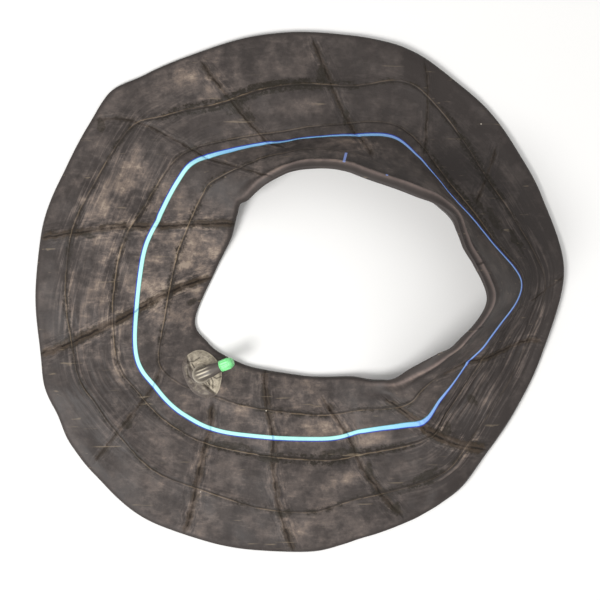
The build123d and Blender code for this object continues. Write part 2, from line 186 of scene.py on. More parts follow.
HOLE_ROUND = (                     # place, how far the inner edge draws back from the hole in mm
    (0, 0), (1.5, 2), (2.1, 4), (2.8, 3), (3.5, 0), (6.5, 1.2), (8, 3), (9.2, 2), (10, 1.5), (10.5, 4.5),
    (11, 1.5), (13, 0.8), (15, 0), (16.6, 0), (17.2, 2.5), (17.9, 4.5), (18.6, 3), (19.2, 1.5), (19.6, 2.5),
    (20.2, 1), (21.5, 0))
STAINS = (
    # place, share, half length along the ring in mm, half width across in mm
    (8.55, 0.64, 9, 8), (8.3, 0.58, 5, 7), (7.8, 0.73, 24, 3.5), (7.2, 0.72, 14, 3), (6.75, 0.77, 5, 11),
    (6.2, 0.52, 3, 9), (17.15, 0.45, 14, 4), (17.5, 0.50, 9, 5), (18.2, 0.46, 16, 3), (19.1, 0.62, 4, 9),
    (19.6, 0.90, 5, 7), (17.75, 0.79, 10, 4), (11.3, 0.94, 6, 5), (12.85, 0.74, 3, 9), (13.6, 0.04, 4, 6),
    (1.9, 0.50, 12, 3), (1.3, 0.52, 14, 5), (0.7, 0.58, 12, 5), (2.2, 0.70, 10, 2.5), (3.2, 0.74, 9, 2),
    (18.6, 0.48, 8, 4), (15.5, 0.66, 5, 6), (22.6, 0.62, 4, 9), (21.6, 0.60, 6, 7), (20.4, 0.76, 12, 3))
# place, share, half length along the ring in mm, half width across in mm. Pale dust patches, but the first is a
# painted highlight on the outer band's bulge at the top left
PALE_PATCHES = (
    (9.3, 0.90, 16, 7), (12.75, 0.18, 26, 12), (13.4, 0.28, 13, 11), (13.5, 0.80, 30, 5), (17.9, 0.33, 24, 9),
    (17.0, 0.22, 12, 9), (17.85, 0.88, 16, 10), (12.3, 0.74, 18, 12), (11.6, 0.66, 18, 13),
    (18.4, 0.62, 16, 10), (19.2, 0.44, 16, 7), (16.9, 0.60, 6, 14), (7.2, 0.60, 20, 8),
    (14.2, 0.52, 22, 5), (6.2, 0.30, 10, 8))
TICKS = ((6.05, 0.02, 0.14), (4.60, 0.02, 0.06))       # place, share from, to

# ---- Valve: from the frame's own joints ---------------------------------------------------------
JOINTS = {joint["name"]: joint for joint in frame["joints"]}
PIVOT = Vector(JOINTS["stem_lean"]["pos_m"])
STEM_AXIS = Vector(JOINTS["core_press"]["axis"]).normalized()
HINGE_AXIS = Vector(JOINTS["stem_lean"]["axis"]).normalized()
STEM_PLAN = Vector((STEM_AXIS.x, STEM_AXIS.y, 0)).normalized()
ACROSS_PLAN = Vector((-STEM_PLAN.y, STEM_PLAN.x, 0))


def stem_place():
    """Matrix from the stem's own frame, with its axis along Z, to the row frame."""
    upward = STEM_AXIS.cross(-HINGE_AXIS)
    columns = (upward, STEM_AXIS.cross(upward), STEM_AXIS)
    turned = Matrix(columns).transposed()
    return Matrix.Translation(PIVOT) @ turned.to_4x4()


def stem_span(node):
    """Nearest and farthest distance of a node along the stem's axis, and its radius, in metres."""
    points = np.array([v.co for v in frame["nodes"][node].data.vertices], float) - np.array(PIVOT)
    along = points @ np.array(STEM_AXIS)
    out = np.linalg.norm(points - np.outer(along, np.array(STEM_AXIS)), axis=1)
    return float(along.min()), float(along.max()), float(out.max())


def linear(code):
    """Linear RGBA for an sRGB hex value."""
    channels = [int(code[i:i + 2], 16) / 255 for i in (1, 3, 5)]
    return tuple(c / 12.92 if c <= 0.04045 else ((c + 0.055) / 1.055) ** 2.4 for c in channels) + (1.0,)


# ---- What a user may change -----------------------------------------------------------------------
class CasingLooks(bpy.types.PropertyGroup):
    """Sizes and colours of the slack rubber ring."""
    sag: bpy.props.FloatProperty(
        name="Sag", description="Height of the soft waves between the folds",
        default=2.2 * MM, min=0, max=4 * MM, unit="LENGTH")
    crease: bpy.props.FloatProperty(
        name="Crease", description="Depth of the narrow groove along each fold",
        default=0.6 * MM, min=0, max=1.5 * MM, unit="LENGTH")
    stripe_width: bpy.props.FloatProperty(
        name="Stripe width", description="Width of the painted stripe",
        default=3.5 * MM, min=1 * MM, max=8 * MM, unit="LENGTH")
    rubber: bpy.props.FloatVectorProperty(
        name="Rubber", description="Clean grey-brown of the aged rubber",
        default=linear("#4f4742"), size=4, min=0, max=1, subtype="COLOR")
    # The stripe's palest colour, where its paleness is a painted highlight
    stripe: bpy.props.FloatVectorProperty(
        name="Stripe", description="Middle of the painted stripe where it is palest",
        default=linear("#b4efe6"), size=4, min=0, max=1, subtype="COLOR")


class ValveLooks(bpy.types.PropertyGroup):
    """Sizes and colours of the moulded valve, its core and its cap."""
    pitch: bpy.props.FloatProperty(
        name="Thread pitch", description="Thread pitch, 32 turns to the inch",
        default=25.4 / 32 * MM, min=0.3 * MM, max=2 * MM, unit="LENGTH")
    thread_depth: bpy.props.FloatProperty(
        name="Thread depth", description="Depth of the outer thread",
        default=0.42 * MM, min=0.1 * MM, max=0.6 * MM, unit="LENGTH")
    grooves: bpy.props.IntProperty(
        name="Finger grooves", description="Number of grooves round the cap", default=12, min=4, max=40)
    spring_turns: bpy.props.IntProperty(
        name="Spring turns", description="Turns of the core spring", default=9, min=3, max=30)
    film: bpy.props.FloatVectorProperty(
        name="Mould film", description="Pale film left on the base pad",
        default=linear("#b9ae99"), size=4, min=0, max=1, subtype="COLOR")
    cap: bpy.props.FloatVectorProperty(
        name="Cap", description="Bright green of the plastic cap",
        default=linear("#8ff59e"), size=4, min=0, max=1, subtype="COLOR")


class StageLooks(bpy.types.PropertyGroup):
    """Floor, lights and camera."""
    camera_height: bpy.props.FloatProperty(
        name="Camera height", description="Height of the camera over the floor",
        default=1.6, min=0.5, max=5, unit="LENGTH")
    view_width: bpy.props.FloatProperty(
        name="View width", description="Width of floor that the camera sees",
        default=0.51, min=0.1, max=3, unit="LENGTH")
    floor: bpy.props.FloatVectorProperty(
        name="Floor", description="Pale floor",
        default=linear("#f4f3f1"), size=4, min=0, max=1, subtype="COLOR")


# ---- Helpers ----------------------------------------------------------------------------------------
def add(tree, kind, sockets=None, **settings):
    """One node: its settings, then each socket's value, colour code or the output linked to it."""
    made = tree.nodes.new(kind)
    for key, value in settings.items():
        setattr(made, key, value)
    for key, value in (sockets or {}).items():
        if isinstance(value, Value):
            value = value.socket
        if isinstance(value, bpy.types.NodeSocket):
            tree.links.new(value, made.inputs[key])
        else:
            made.inputs[key].default_value = linear(value) if isinstance(value, str) else value
    return made


class Value:
    """An output of a node tree that can be added, taken away and multiplied."""

    def __init__(self, tree, socket):
        self.tree, self.socket = tree, socket

    def sum(self, operation, *others):
        sockets = dict(enumerate((self, *others)))
        return Value(self.tree, add(self.tree, "ShaderNodeMath", sockets, operation=operation).outputs[0])

    def __add__(self, other):
        return self.sum("ADD", other)

    def __sub__(self, other):
        return self.sum("SUBTRACT", other)

    def __mul__(self, other):
        return self.sum("MULTIPLY", other)

    def __abs__(self):
        return self.sum("ABSOLUTE")

    def ramp(self, low, high, out_low=0.0, out_high=1.0):
        """Smooth step between two limits; low may be the larger."""
        sockets = {0: self, 1: low, 2: high, 3: out_low, 4: out_high}
        return Value(self.tree, add(self.tree, "ShaderNodeMapRange", sockets,
                                    interpolation_type="SMOOTHSTEP").outputs[0])

    def centred(self, gain):
        """A noise moved to lie round 0, times a gain."""
        return (self - 0.5) * gain

    def near(self, inner, outer):
        """For a distance: 1 closer than inner, 0 beyond outer, both in millimetres."""
        return self.ramp(outer * MM, inner * MM)


def per(millimetres):
    """Noise scale whose features are about this many millimetres apart."""
    return 1000.0 / millimetres


def smooth_step(value, low, high):
    """0 below low, 1 above high, smooth between; low may be the larger."""
    t = np.clip((value - low) / (high - low), 0, 1)
    return t * t * (3 - 2 * t)


def bump(value, middle, width):
    """Bell curve: 1 at its middle, 1/e at its width from there."""
    return np.exp(-((value - middle) / width) ** 2)


def lattice_noise(x, y, size, seed):
    """Soft noise from -1 to 1 with features of the given size, the same on every run."""
    table = np.random.default_rng(seed).uniform(-1, 1, (64, 64))
    gx, gy = x / size, y / size
    ix, iy = np.floor(gx).astype(int), np.floor(gy).astype(int)
    fx, fy = gx - ix, gy - iy
    fx, fy = fx * fx * (3 - 2 * fx), fy * fy * (3 - 2 * fy)
    corner = [[table[(ix + a) % 64, (iy + b) % 64] for b in (0, 1)] for a in (0, 1)]
    low = corner[0][0] * (1 - fx) + corner[1][0] * fx
    high = corner[0][1] * (1 - fx) + corner[1][1] * fx
    return low * (1 - fy) + high * fy


def ring_values(places, knots, blur=0.35):
    """Value round the ring from (place, value) knots, with its corners softened."""
    at, values = np.array(knots, float).T
    order = np.argsort(at % TURN)
    at, values = (at % TURN)[order], values[order]
    shifts = np.linspace(-blur, blur, 9)
    return sum(np.interp(places + s, at, values, period=TURN) for s in shifts) / len(shifts)


def mesh_object(name, points, faces, place=None):
    """Smooth-shaded mesh object from points and faces, moved by the matrix place."""
    mesh = bpy.data.meshes.new(name)
    mesh.from_pydata(points, [], faces)
    if place is not None:
        mesh.transform(place)
    mesh.polygons.foreach_set("use_smooth", np.ones(len(mesh.polygons), bool))
    mesh.update()
    piece = bpy.data.objects.new(name, mesh)
    bpy.context.scene.collection.objects.link(piece)
    return piece


def store(mesh, name, values, domain="POINT"):
    """A float attribute on a mesh's points or face corners."""
    made = mesh.attributes.new(name, "FLOAT", domain)
    made.data.foreach_set("value", np.ascontiguousarray(values, np.float32).ravel())


def store_uv(mesh, name, u, v):
    """A UV map from two arrays of face-corner values."""
    layer = mesh.uv_layers.new(name=name)
    layer.data.foreach_set("uv", np.stack([u.ravel(), v.ravel()], 1).astype(np.float32).ravel())


def ring_faces(rings, count):
    """Quads between rings of count points, each ring stored after the one before."""
    return [(a + k, a + (k + 1) % count, b + (k + 1) % count, b + k)
            for a, b in zip(range(0, (rings - 1) * count, count), range(count, rings * count, count))
            for k in range(count)]


def lathe(outline, segments):
    """Points and faces of an outline of (radius, height) turned round Z; ends on the axis close."""
    points, rings = [], []
    for radius, height in outline:
        count = segments if radius > 1e-7 else 1
        rings.append(list(range(len(points), len(points) + count)))
        for k in range(count):
            angle = 2 * math.pi * k / segments
            points.append((radius * math.cos(angle), radius * math.sin(angle), height))
    faces = []
    for lower, upper in zip(rings, rings[1:]):
        for k in range(segments):
            after = (k + 1) % segments
            face = [lower[k % len(lower)], lower[after % len(lower)],
                    upper[after % len(upper)], upper[k % len(upper)]]
            face = list(dict.fromkeys(face))
            if len(face) > 2:
                faces.append(face)
    return points, faces


def settle(piece, modifier, values):
    """Sets a Geometry Nodes modifier's inputs by identifier, bakes it into a plain mesh and drops it."""
    for item in modifier.node_group.interface.items_tree:
        if item.item_type == "SOCKET" and item.in_out == "INPUT" and item.name in values:
            modifier[item.identifier] = values[item.name]
    graph = bpy.context.evaluated_depsgraph_get()
    baked = bpy.data.meshes.new_from_object(piece.evaluated_get(graph), depsgraph=graph)
    baked.name = piece.name
    piece.modifiers.remove(modifier)
    piece.data = baked
    return piece


# ---- Casing shape -------------------------------------------------------------------------------------
def section_rows(places):
    """Rows of SECTIONS at any places, on a smooth closed curve through them all."""
    whole = np.floor(places).astype(int)
    f = (places - whole)[:, None]
    a, b, c, d = (SECTIONS[(whole + k) % len(SECTIONS)] for k in (-1, 0, 1, 2))
    rows = 0.5 * (2 * b + (c - a) * f + (2 * a - 5 * b + 4 * c - d) * f ** 2
                  + (3 * b - a - 3 * c + d) * f ** 3)
    for column, least in ((2, 0), (5, 0), (8, LEAST_LANDING)):
        rows[:, column] = np.maximum(rows[:, column], least)
    return rows


def band_rise(rows, share):
    """Height of the underside above the floor."""
    inner, stripe, foot = rows[:, 2:3], rows[:, 5:6], rows[:, 8:9]
    low_curl = inner * (1 - share / foot) ** 2
    collar = inner + (stripe - inner) * share / STRIPE_SHARE
    skirt = stripe * ((foot - share) / np.maximum(foot - STRIPE_SHARE, 0.02)) ** 2
    standing = np.where(share <= STRIPE_SHARE, collar, skirt)
    low = smooth_step(foot, STRIPE_SHARE + 0.06, STRIPE_SHARE)
    return np.where(share >= foot, 0, low_curl * low + standing * (1 - low))


def band_middle(rows, share):
    """Points halfway through the thickness, for every row and share."""
    share = share[None, :]
    inner, stripe, outer = rows[:, None, 0:2], rows[:, None, 3:5], rows[:, None, 6:8]
    near = inner + (stripe - inner) * (share / STRIPE_SHARE)[..., None]
    far = stripe + (outer - stripe) * ((share - STRIPE_SHARE) / (1 - STRIPE_SHARE))[..., None]
    plan = np.where((share <= STRIPE_SHARE)[..., None], near, far)
    height = band_rise(rows, share) + band_half(share)
    return np.concatenate([plan, height[..., None]], 2)


def band_half(share):
    """Half thickness: thin at the two folded edges and fullest in the middle."""
    return EDGE_HALF + (MIDDLE_HALF - EDGE_HALF) * np.clip(4 * share * (1 - share), 0, 1) ** 0.6


def unit(vectors):
    """Vectors scaled to a length of 1."""
    return vectors / np.linalg.norm(vectors, axis=-1, keepdims=True)


class Band:
    """The ring's surface before its folds: points, directions and distances on a grid."""

    def __init__(self):
        fine = SEAM_AT + np.linspace(0, TURN, LENGTH_STEPS)
        plan = section_rows(fine)
        line = 0.4 * plan[:, 3:5] + 0.6 * plan[:, 6:8]
        length = np.concatenate([[0], np.cumsum(np.linalg.norm(np.diff(line, axis=0), axis=1))])
        self.along = np.linspace(0, length[-1], COLUMNS + 1)
        self.place = np.interp(self.along, length, fine)
        self.rows = section_rows(self.place)
        self.outline = self.rows[:, 6:8].copy()
        for columns, line in ((slice(6, 8), CORNERS_ROUND), (slice(0, 2), HOLE_ROUND)):
            jut = ring_values(self.place, line, blur=0.12) * MM
            self.rows[:, columns] += unit(self.rows[:, columns]) * jut[:, None]
        turn = np.linspace(0, math.pi / 2, ROUND_ROWS + 1)[:-1]
        edge = TIP_SHARE * (1 - 2 * np.cos(turn))
        middle = np.linspace(TIP_SHARE, 1 - TIP_SHARE, MIDDLE_ROWS)
        self.share = np.concatenate([edge, middle, (1 - edge)[::-1]])
        self.full = np.concatenate([np.sin(turn), np.ones(MIDDLE_ROWS), np.sin(turn)[::-1]])
        under = np.linspace(1 - TIP_SHARE, TIP_SHARE, UNDER_ROWS)
        self.under_share = np.concatenate([(1 - edge)[1:], under, edge[1:][::-1]])
        self.under_full = np.concatenate([np.sin(turn)[1:], np.ones(UNDER_ROWS), np.sin(turn)[1:][::-1]])
        self.top = self.frame_at(self.share)
        points = self.top[0]
        steps = np.linalg.norm(np.diff(points, axis=1), axis=2)
        self.across = np.concatenate([np.zeros((COLUMNS + 1, 1)), np.cumsum(steps, axis=1)], 1)
        self.per_place = np.linalg.norm(np.gradient(points, self.place, axis=0), axis=2)

    def frame_at(self, share):
        """Middle points and the direction square to the band, at these shares."""
        soft = 0.012
        middle = (band_middle(self.rows, share - soft) + 2 * band_middle(self.rows, share)
                  + band_middle(self.rows, share + soft)) / 4
        step = 0.02
        ahead = unit(band_middle(self.rows, share + step) - band_middle(self.rows, share - step))
        upright = unit(np.array([0, 0, 1.0]) - ahead * ahead[..., 2:3])
        return middle, upright

    def from_share(self, shares):
        """Distance across the band from a line at one share, or at a share for each column."""
        shares = np.broadcast_to(shares, COLUMNS + 1)
        line = np.array([np.interp(s, self.share, row) for s, row in zip(shares, self.across)])
        return self.across - line[:, None]

    def from_place(self, place):
        """Distance along the ring from a place, or from a place for each row."""
        return ((self.place[:, None] - place + TURN / 2) % TURN - TURN / 2) * self.per_place

    def level(self, knots):
        """Value at every grid point from (place, value) knots round the ring."""
        return np.broadcast_to(ring_values(self.place, knots)[:, None], self.across.shape)


def fold_distances(band):
    """Signed distance of each grid point to each fold across, and each fold's strength there."""
    share = np.clip(band.share, 0, 1)
    width = band.across[:, -1:]
    distances, strengths = [], []
    for inner, halfway, outer, start, end, _, mark in FOLDS_ACROSS:
        line = (inner * 2 * (share - 0.5) * (share - 1) - 4 * halfway * share * (share - 1)
                + outer * 2 * share * (share - 0.5))
        slope = np.gradient(line, share + np.linspace(0, 1e-6, len(share)))
        lean = slope * band.per_place / width
        distances.append(band.from_place(line) / np.sqrt(1 + lean ** 2))
        fade = smooth_step(share, start - 0.06, start + 0.03) * smooth_step(share, end + 0.05, end - 0.03)
        strengths.append(np.broadcast_to(fade * mark, band.across.shape))
    return np.array(distances), np.array(strengths)


def ring_distances(band):
    """Signed distance to each fold that runs round the ring, and its strength."""
    distances = [band.from_share(ring_values(band.place, line)) for _, line, _ in FOLDS_AROUND]
    return np.array(distances), np.array([band.level(mark) for _, _, mark in FOLDS_AROUND])


def relief(band, looks, folds, rings):
    """Height of the folds, creases, wrinkles and soft waves over the smooth band."""
    x, y = band.top[0][..., 0] + 1, band.top[0][..., 1] + 1
    waves = (looks.sag * lattice_noise(x, y, 52 * MM, 11)
             + 1.5 * MM * lattice_noise(x, y, 24 * MM, 12)
             + 0.4 * MM * lattice_noise(x, y, 9 * MM, 13))
    folded = np.zeros_like(waves)
    breaks = 0.55 + 0.45 * lattice_noise(x, y, 11 * MM, 14)
    wander = 0.9 * MM * lattice_noise(x, y, 7 * MM, 15)
    for (distances, strengths), heights, reach in (
            (folds, FOLDS_ACROSS[:, 5], 13 * MM), (rings, [row[0] for row in FOLDS_AROUND], 9 * MM)):
        for distance, strength, height in zip(distances, strengths, heights):
            away = np.abs(distance + wander)
            folded += 1.5 * strength * height * MM * np.exp(-away / reach)
            folded -= strength * breaks * looks.crease * bump(away, 0, 1.3 * MM)
            folded += 0.35 * strength * looks.crease * bump(away, 2.6 * MM, 1.2 * MM)
    outer_zone = smooth_step(band.share, 0.42, 0.5) * smooth_step(band.share, 0.95, 0.82)
    run = band.along[:, None] + 4 * band.across
    ripples = 1 - np.abs(lattice_noise(run, band.across * 14, 60 * MM, 16))
    folded += 1.1 * MM * band.level(STREAKS_ROUND) * outer_zone * (ripples ** 4 - 0.3)
    bead = 2.4 * MM * bump(band.across, 5.5 * MM, 2.8 * MM)
    bead -= 1.6 * MM * bump(band.across, 11.5 * MM, 2.6 * MM)
    folded += band.level(COLLAR_ROUND) * bead * (0.85 + 0.3 * lattice_noise(run, run * 0, 34 * MM, 17))
    calm = smooth_step(-band.from_share(1.0), 0, 9 * MM)
    return waves * (0.3 + 0.7 * calm), folded * (0.35 + 0.65 * calm)


def moved_range(values, old, new):
    """Values stretched so that the old pair of limits becomes the new one."""
    return new[0] + (values - old[0]) * (new[1] - new[0]) / (old[1] - old[0])


def casing_points(band, looks, folds, rings):
    """All mesh points, one closed section after another, fitted to the frame's own casing box."""
    waves, folded = relief(band, looks, folds, rings)
    middle, upright = band.top
    half = band_half(np.clip(band.share, 0, 1))
    top = middle + upright * ((half + waves + folded) * band.full)[..., None]
    under_middle, under_upright = band.frame_at(band.under_share)
    under_half = band_half(np.clip(band.under_share, 0, 1)) * band.under_full
    lift = smooth_step(band_rise(band.rows, band.under_share[None, :]), 0, 12 * MM)
    sway = np.array([np.interp(band.under_share, band.share, row) for row in waves + 0.6 * folded])
    under = under_middle + under_upright * (sway * lift * band.under_full - under_half)[..., None]
    top[..., 2] = np.maximum(top[..., 2], CLEAR_OF_FLOOR)
    under[..., 2] = np.maximum(under[..., 2], 0)
    points = np.concatenate([top, under], 1)[:-1].reshape(-1, 3)
    low, high = (np.array(corner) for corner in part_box("tube_casing"))
    room_low, room_high = low + BOX_MARGIN, high - BOX_MARGIN
    for k in (0, 1):
        own = band.outline[:, k].min() - TIP_REACH, band.outline[:, k].max() + TIP_REACH
        points[:, k] = moved_range(points[:, k], own, (room_low[k], room_high[k]))
        reached = points[:, k].min(), points[:, k].max()
        kept = max(reached[0], room_low[k]), min(reached[1], room_high[k])
        points[:, k] = moved_range(points[:, k], reached, kept)
    excess = points[:, 2].max() / room_high[2]
    if excess > 1:
        points[:, 2] /= excess
    return points


def nearest_line(distances, strengths, count):
    """For each top face, its nearest fold's distance and strength at the face's four corners."""
    centre = sum(np.abs(distances[:, a:a + COLUMNS, b:b + count - 1]) for a in (0, 1) for b in (0, 1)) / 4
    dull = 1 - strengths[:, :COLUMNS, :count - 1].clip(0, 1)
    chosen = np.argmin(centre + 0.04 * (dull > 0.95), axis=0)
    i, j = np.meshgrid(np.arange(COLUMNS), np.arange(count - 1), indexing="ij")
    near = np.stack([distances[chosen, i + a, j + b] for a, b in QUAD_CORNERS], -1)
    mark = np.stack([strengths[chosen, i + a, j + b] for a, b in QUAD_CORNERS], -1)
    return near, mark


def face_corners(grid, start, count):
    """Values of a (columns + 1, rows) grid at the corners of faces from row start."""
    return np.stack([grid[a:a + COLUMNS, start + b:start + b + count] for a, b in QUAD_CORNERS], -1)


def haziness_and_highlight_grid(band):
    """How dusty the rubber is at each grid point, from three lines round the ring, with a painted highlight on the
    outer band at the top left.
    """
    near, halfway, far = (band.level(line) for line in HAZINESS_AND_HIGHLIGHT_ROUND)
    middle = smooth_step(band.share, *HAZINESS_AND_HIGHLIGHT_AT[:2])
    outer = smooth_step(band.share, *HAZINESS_AND_HIGHLIGHT_AT[1:])
    return near * (1 - middle) + halfway * middle * (1 - outer) + far * outer


def patches_grid(band, patches):
    """1 in the middle of the nearest patch, 0 at its rim and less beyond."""
    best = np.full(band.across.shape, -1.0)
    for place, share, length, width in patches:
        off = np.hypot(band.from_place(place) / (length * MM), band.from_share(share) / (width * MM))
        best = np.maximum(best, 1 - off)
    return best


def ticks_grid(band):
    """Distance to the nearest short painted tick."""
    best = np.full(band.across.shape, FAR_AWAY)
    for place, start, end in TICKS:
        beyond = np.maximum(np.maximum(start - band.share, band.share - end), 0) * band.across[:, -1:]
        best = np.minimum(best, np.hypot(band.from_place(place), beyond * 3))
    return best


def make_casing(looks):
    """The whole rubber ring as one closed skin with the distances that its finish follows."""
    band = Band()
    folds, rings = fold_distances(band), ring_distances(band)
    points = casing_points(band, looks, folds, rings)
    top_count, under_count = len(band.share), len(band.under_share)
    total = top_count + under_count
    i, j = np.meshgrid(np.arange(COLUMNS), np.arange(total), indexing="ij")
    after_i, after_j = (i + 1) % COLUMNS, (j + 1) % total
    faces = np.stack([i * total + j, i * total + after_j, after_i * total + after_j, after_i * total + j], -1)
    piece = mesh_object("rubber_casing", points, faces.reshape(-1, 4).tolist())
    mesh, top_faces = piece.data, top_count - 1

    def whole(top_part, rest):
        """Corner values of the top's faces, then one value on all the others."""
        return np.concatenate([top_part, np.full((COLUMNS, total - top_faces, 4), rest)], 1)

    def on_top(grid, rest):
        return whole(face_corners(grid, 0, top_faces), rest)

    fold_near, fold_mark = nearest_line(*folds, top_count)
    ring_near, ring_mark = nearest_line(*rings, top_count)
    store_uv(mesh, "fold_lines", whole(fold_near, FAR_AWAY), whole(ring_near, FAR_AWAY))
    under_across = band.across[:, -1:] - np.array(
        [np.interp(band.under_share, band.share, row) for row in band.across])
    across = np.concatenate([band.across, under_across, band.across[:, :1]], 1)
    along = np.broadcast_to(band.along[:, None], across.shape)
    store_uv(mesh, "band", face_corners(along, 0, total), face_corners(across, 0, total))
    stripe = band.from_share(STRIPE_SHARE) / band.level(STRIPE_ROUND)
    store_uv(mesh, "paint", on_top(stripe, FAR_AWAY), on_top(haziness_and_highlight_grid(band), 0.3))
    zone = smooth_step(band.share, 0.40, 0.5) * smooth_step(band.share, 0.97, 0.85)
    # Painted highlight along the top of the collar's rolled bead, and painted shade in the groove beyond it
    bead = bump(band.across, 4.6 * MM, 1.4 * MM) - 0.8 * bump(band.across, 10.5 * MM, 2.0 * MM)
    for name, values in (
            ("fold_mark", whole(fold_mark, 0)), ("ring_mark", whole(ring_mark, 0)),
            ("streaks", on_top(band.level(STREAKS_ROUND) * (0.12 + 0.88 * zone), 0)),
            ("tick_offset", on_top(ticks_grid(band), FAR_AWAY)),
            ("stained", on_top(patches_grid(band, STAINS), -1)),
            ("pale", on_top(patches_grid(band, PALE_PATCHES), -1)),
            ("ink", on_top(band.level(INK_ROUND), 0)),
            ("edge_offset", on_top(np.minimum(band.across, band.across[:, -1:] - band.across), 0)),
            ("bead", on_top(band.level(COLLAR_ROUND) * bead, 0))):
        store(mesh, name, values, "CORNER")
    return piece


# ---- Valve shapes -----------------------------------------------------------------------------------
PAD_LONG = 21.0 * MM              # half length of the base pad, across the stem
PAD_SHORT = 15.8 * MM             # half width, along the stem
PAD_THICK = 1.35 * MM
PAD_SECTORS = 176
PAD_RINGS = 56
BOSS_HEIGHT = 2.2 * MM
BOSS_TOP_R = 5.4 * MM
BOSS_FOOT_R = 9.5 * MM
FOOT_R = 8.3 * MM                 # the stem's own flared foot covers the pad out to here
FOOT_DIP = 1.5 * MM               # the pad drops this far under the foot
FOOT_RINGS = 6
FOOT_PROUD = 0.05 * MM            # the foot's skin over the pad, and its hidden rim's depth in it
FOOT_SUNK = 0.4 * MM
PAD_CREASE = ((-5.5, 21.0), (-6.0, 9.0), (-5.0, -2.0), (0.5, -11.0), (5.0, -20.0))
PAD_CRACKS = (
    ((9.0, -6.2), (10.6, -8.0), (14.6, -8.2)),
    ((4.0, -6.0), (4.2, -9.0), (1.6, -13.0)),
    ((-2.0, -4.0), (1.0, -8.0), (1.4, -12.0)),
    ((-9.0, 9.0), (-10.5, 3.0), (-7.5, -3.0)),
    ((-3.5, 11.0), (-3.0, 6.0), (-5.5, 3.0)),
    ((0.5, -6.5), (3.0, -7.5), (3.4, -10.5), (1.2, -11.5)),
    ((6.5, -4.5), (7.0, -9.0), (4.5, -15.0)),
    ((-6.5, 14.0), (-1.0, 12.5), (4.0, 13.5)),
)


def ground_under(tree, p):
    """Height of a surface's top below or above a point, or 0 beside it."""
    hit = tree.ray_cast(Vector((p.x, p.y, 0.2)), Vector((0, 0, -1)))[0]
    return hit.z if hit else 0.0


def line_distance(x, y, line):
    """Distance from each point to a line of straight runs, all in millimetres."""
    best = np.full(x.shape, 1e3)
    for (ax, ay), (bx, by) in zip(line, line[1:]):
        dx, dy = bx - ax, by - ay
        t = np.clip(((x - ax) * dx + (y - ay) * dy) / (dx * dx + dy * dy), 0, 1)
        best = np.minimum(best, np.hypot(x - ax - t * dx, y - ay - t * dy))
    return best


def make_pad(casing):
    """The oval base pad, laid on the casing's own surface, with its raised root."""
    tree = BVHTree.FromObject(casing, bpy.context.evaluated_depsgraph_get())
    angle = np.linspace(0, 2 * math.pi, PAD_SECTORS, endpoint=False)
    radius = np.linspace(0, 1, PAD_RINGS + 1)[1:]
    wobble = 1 + 0.025 * np.sin(3 * angle + 0.6) + 0.015 * np.sin(5 * angle + 2.0)
    x = np.outer(radius, np.cos(angle) * wobble) * PAD_SHORT
    y = np.outer(radius, np.sin(angle) * wobble) * PAD_LONG
    x, y = np.concatenate([[0.0], x.ravel()]), np.concatenate([[0.0], y.ravel()])
    share = np.concatenate([[0.0], np.repeat(radius, PAD_SECTORS)])
    low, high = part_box("valve_pad")
    centre = Vector(((low[0] + high[0]) / 2, (low[1] + high[1]) / 2, 0)) + STEM_PLAN * 1.0 * MM
    off = PIVOT - centre
    plan = [centre + STEM_PLAN * a + ACROSS_PLAN * b for a, b in zip(x, y)]
    x, y = x - off.dot(STEM_PLAN), y - off.dot(ACROSS_PLAN)
    ground = np.array([ground_under(tree, p) for p in plan])
    mx, my = x / MM, y / MM
    out = np.hypot(mx, my) * MM
    layer = PAD_THICK * smooth_step(share, 1.0, 0.86)
    boss = BOSS_HEIGHT * smooth_step(out, BOSS_FOOT_R, BOSS_TOP_R)
    boss -= FOOT_DIP * smooth_step(out, FOOT_R - 0.2 * MM, FOOT_R - 1.6 * MM)
    crease = line_distance(mx, my, PAD_CREASE)
    cracks = np.min([line_distance(mx, my, line) for line in PAD_CRACKS], axis=0)
    folds = 1 - np.abs(lattice_noise(mx * 0.5 + my * 0.3 + 90, my + 90, 4.2, 21))
    inner = smooth_step(share, 1.0, 0.8)
    rough_zone = inner * smooth_step(out, FOOT_R - 0.3 * MM, FOOT_R + 1.8 * MM)
    height = layer + boss + rough_zone * MM * (
        0.75 * (folds ** 3 - 0.4) + 0.3 * lattice_noise(mx + 90, my + 90, 2.2, 22)
        - 0.7 * bump(crease, 0, 0.8) + 0.5 * bump(crease, 2, 1.2) - 0.5 * bump(cracks, 0, 0.45))
    top = ground + np.maximum(height, 0.12 * MM)
    under = ground - 0.5 * MM
    points = [(p.x, p.y, z) for p, z in zip(plan, top)] + [(p.x, p.y, z) for p, z in zip(plan, under)]
    faces, offset, rim = [], len(plan), 1 + (PAD_RINGS - 1) * PAD_SECTORS
    for k in range(PAD_SECTORS):
        after = (k + 1) % PAD_SECTORS
        faces.append((0, 1 + k, 1 + after))
        faces.append((offset, offset + 1 + after, offset + 1 + k))
        faces.append((rim + k, offset + rim + k, offset + rim + after, rim + after))
    for face in ring_faces(PAD_RINGS, PAD_SECTORS):
        faces.append([1 + face[k] for k in (0, 3, 2, 1)])
        faces.append([offset + 1 + corner for corner in face])
    piece = mesh_object("valve_base_pad", points, faces)
    crease_y, crease_x = np.array(sorted((b, a) for a, b in PAD_CREASE)).T
    beyond = smooth_step(mx - np.interp(my, crease_y, crease_x), 0.8, -1.8)
    film = (1 - 0.62 * beyond) * (1 - 0.30 * bump(out / MM, 7, 2.5))
    film *= 1 - 0.25 * smooth_step(my + 0.6 * mx, -4, 8)
    film *= 1 - 0.8 * beyond * smooth_step(share, 0.80, 0.95)
    dark = np.maximum(bump(crease, 0, 0.8), bump(cracks, 0, 0.5))
    store(piece.data, "film", np.concatenate([film, film]))
    store(piece.data, "crack", np.concatenate([dark, dark]))
    return piece


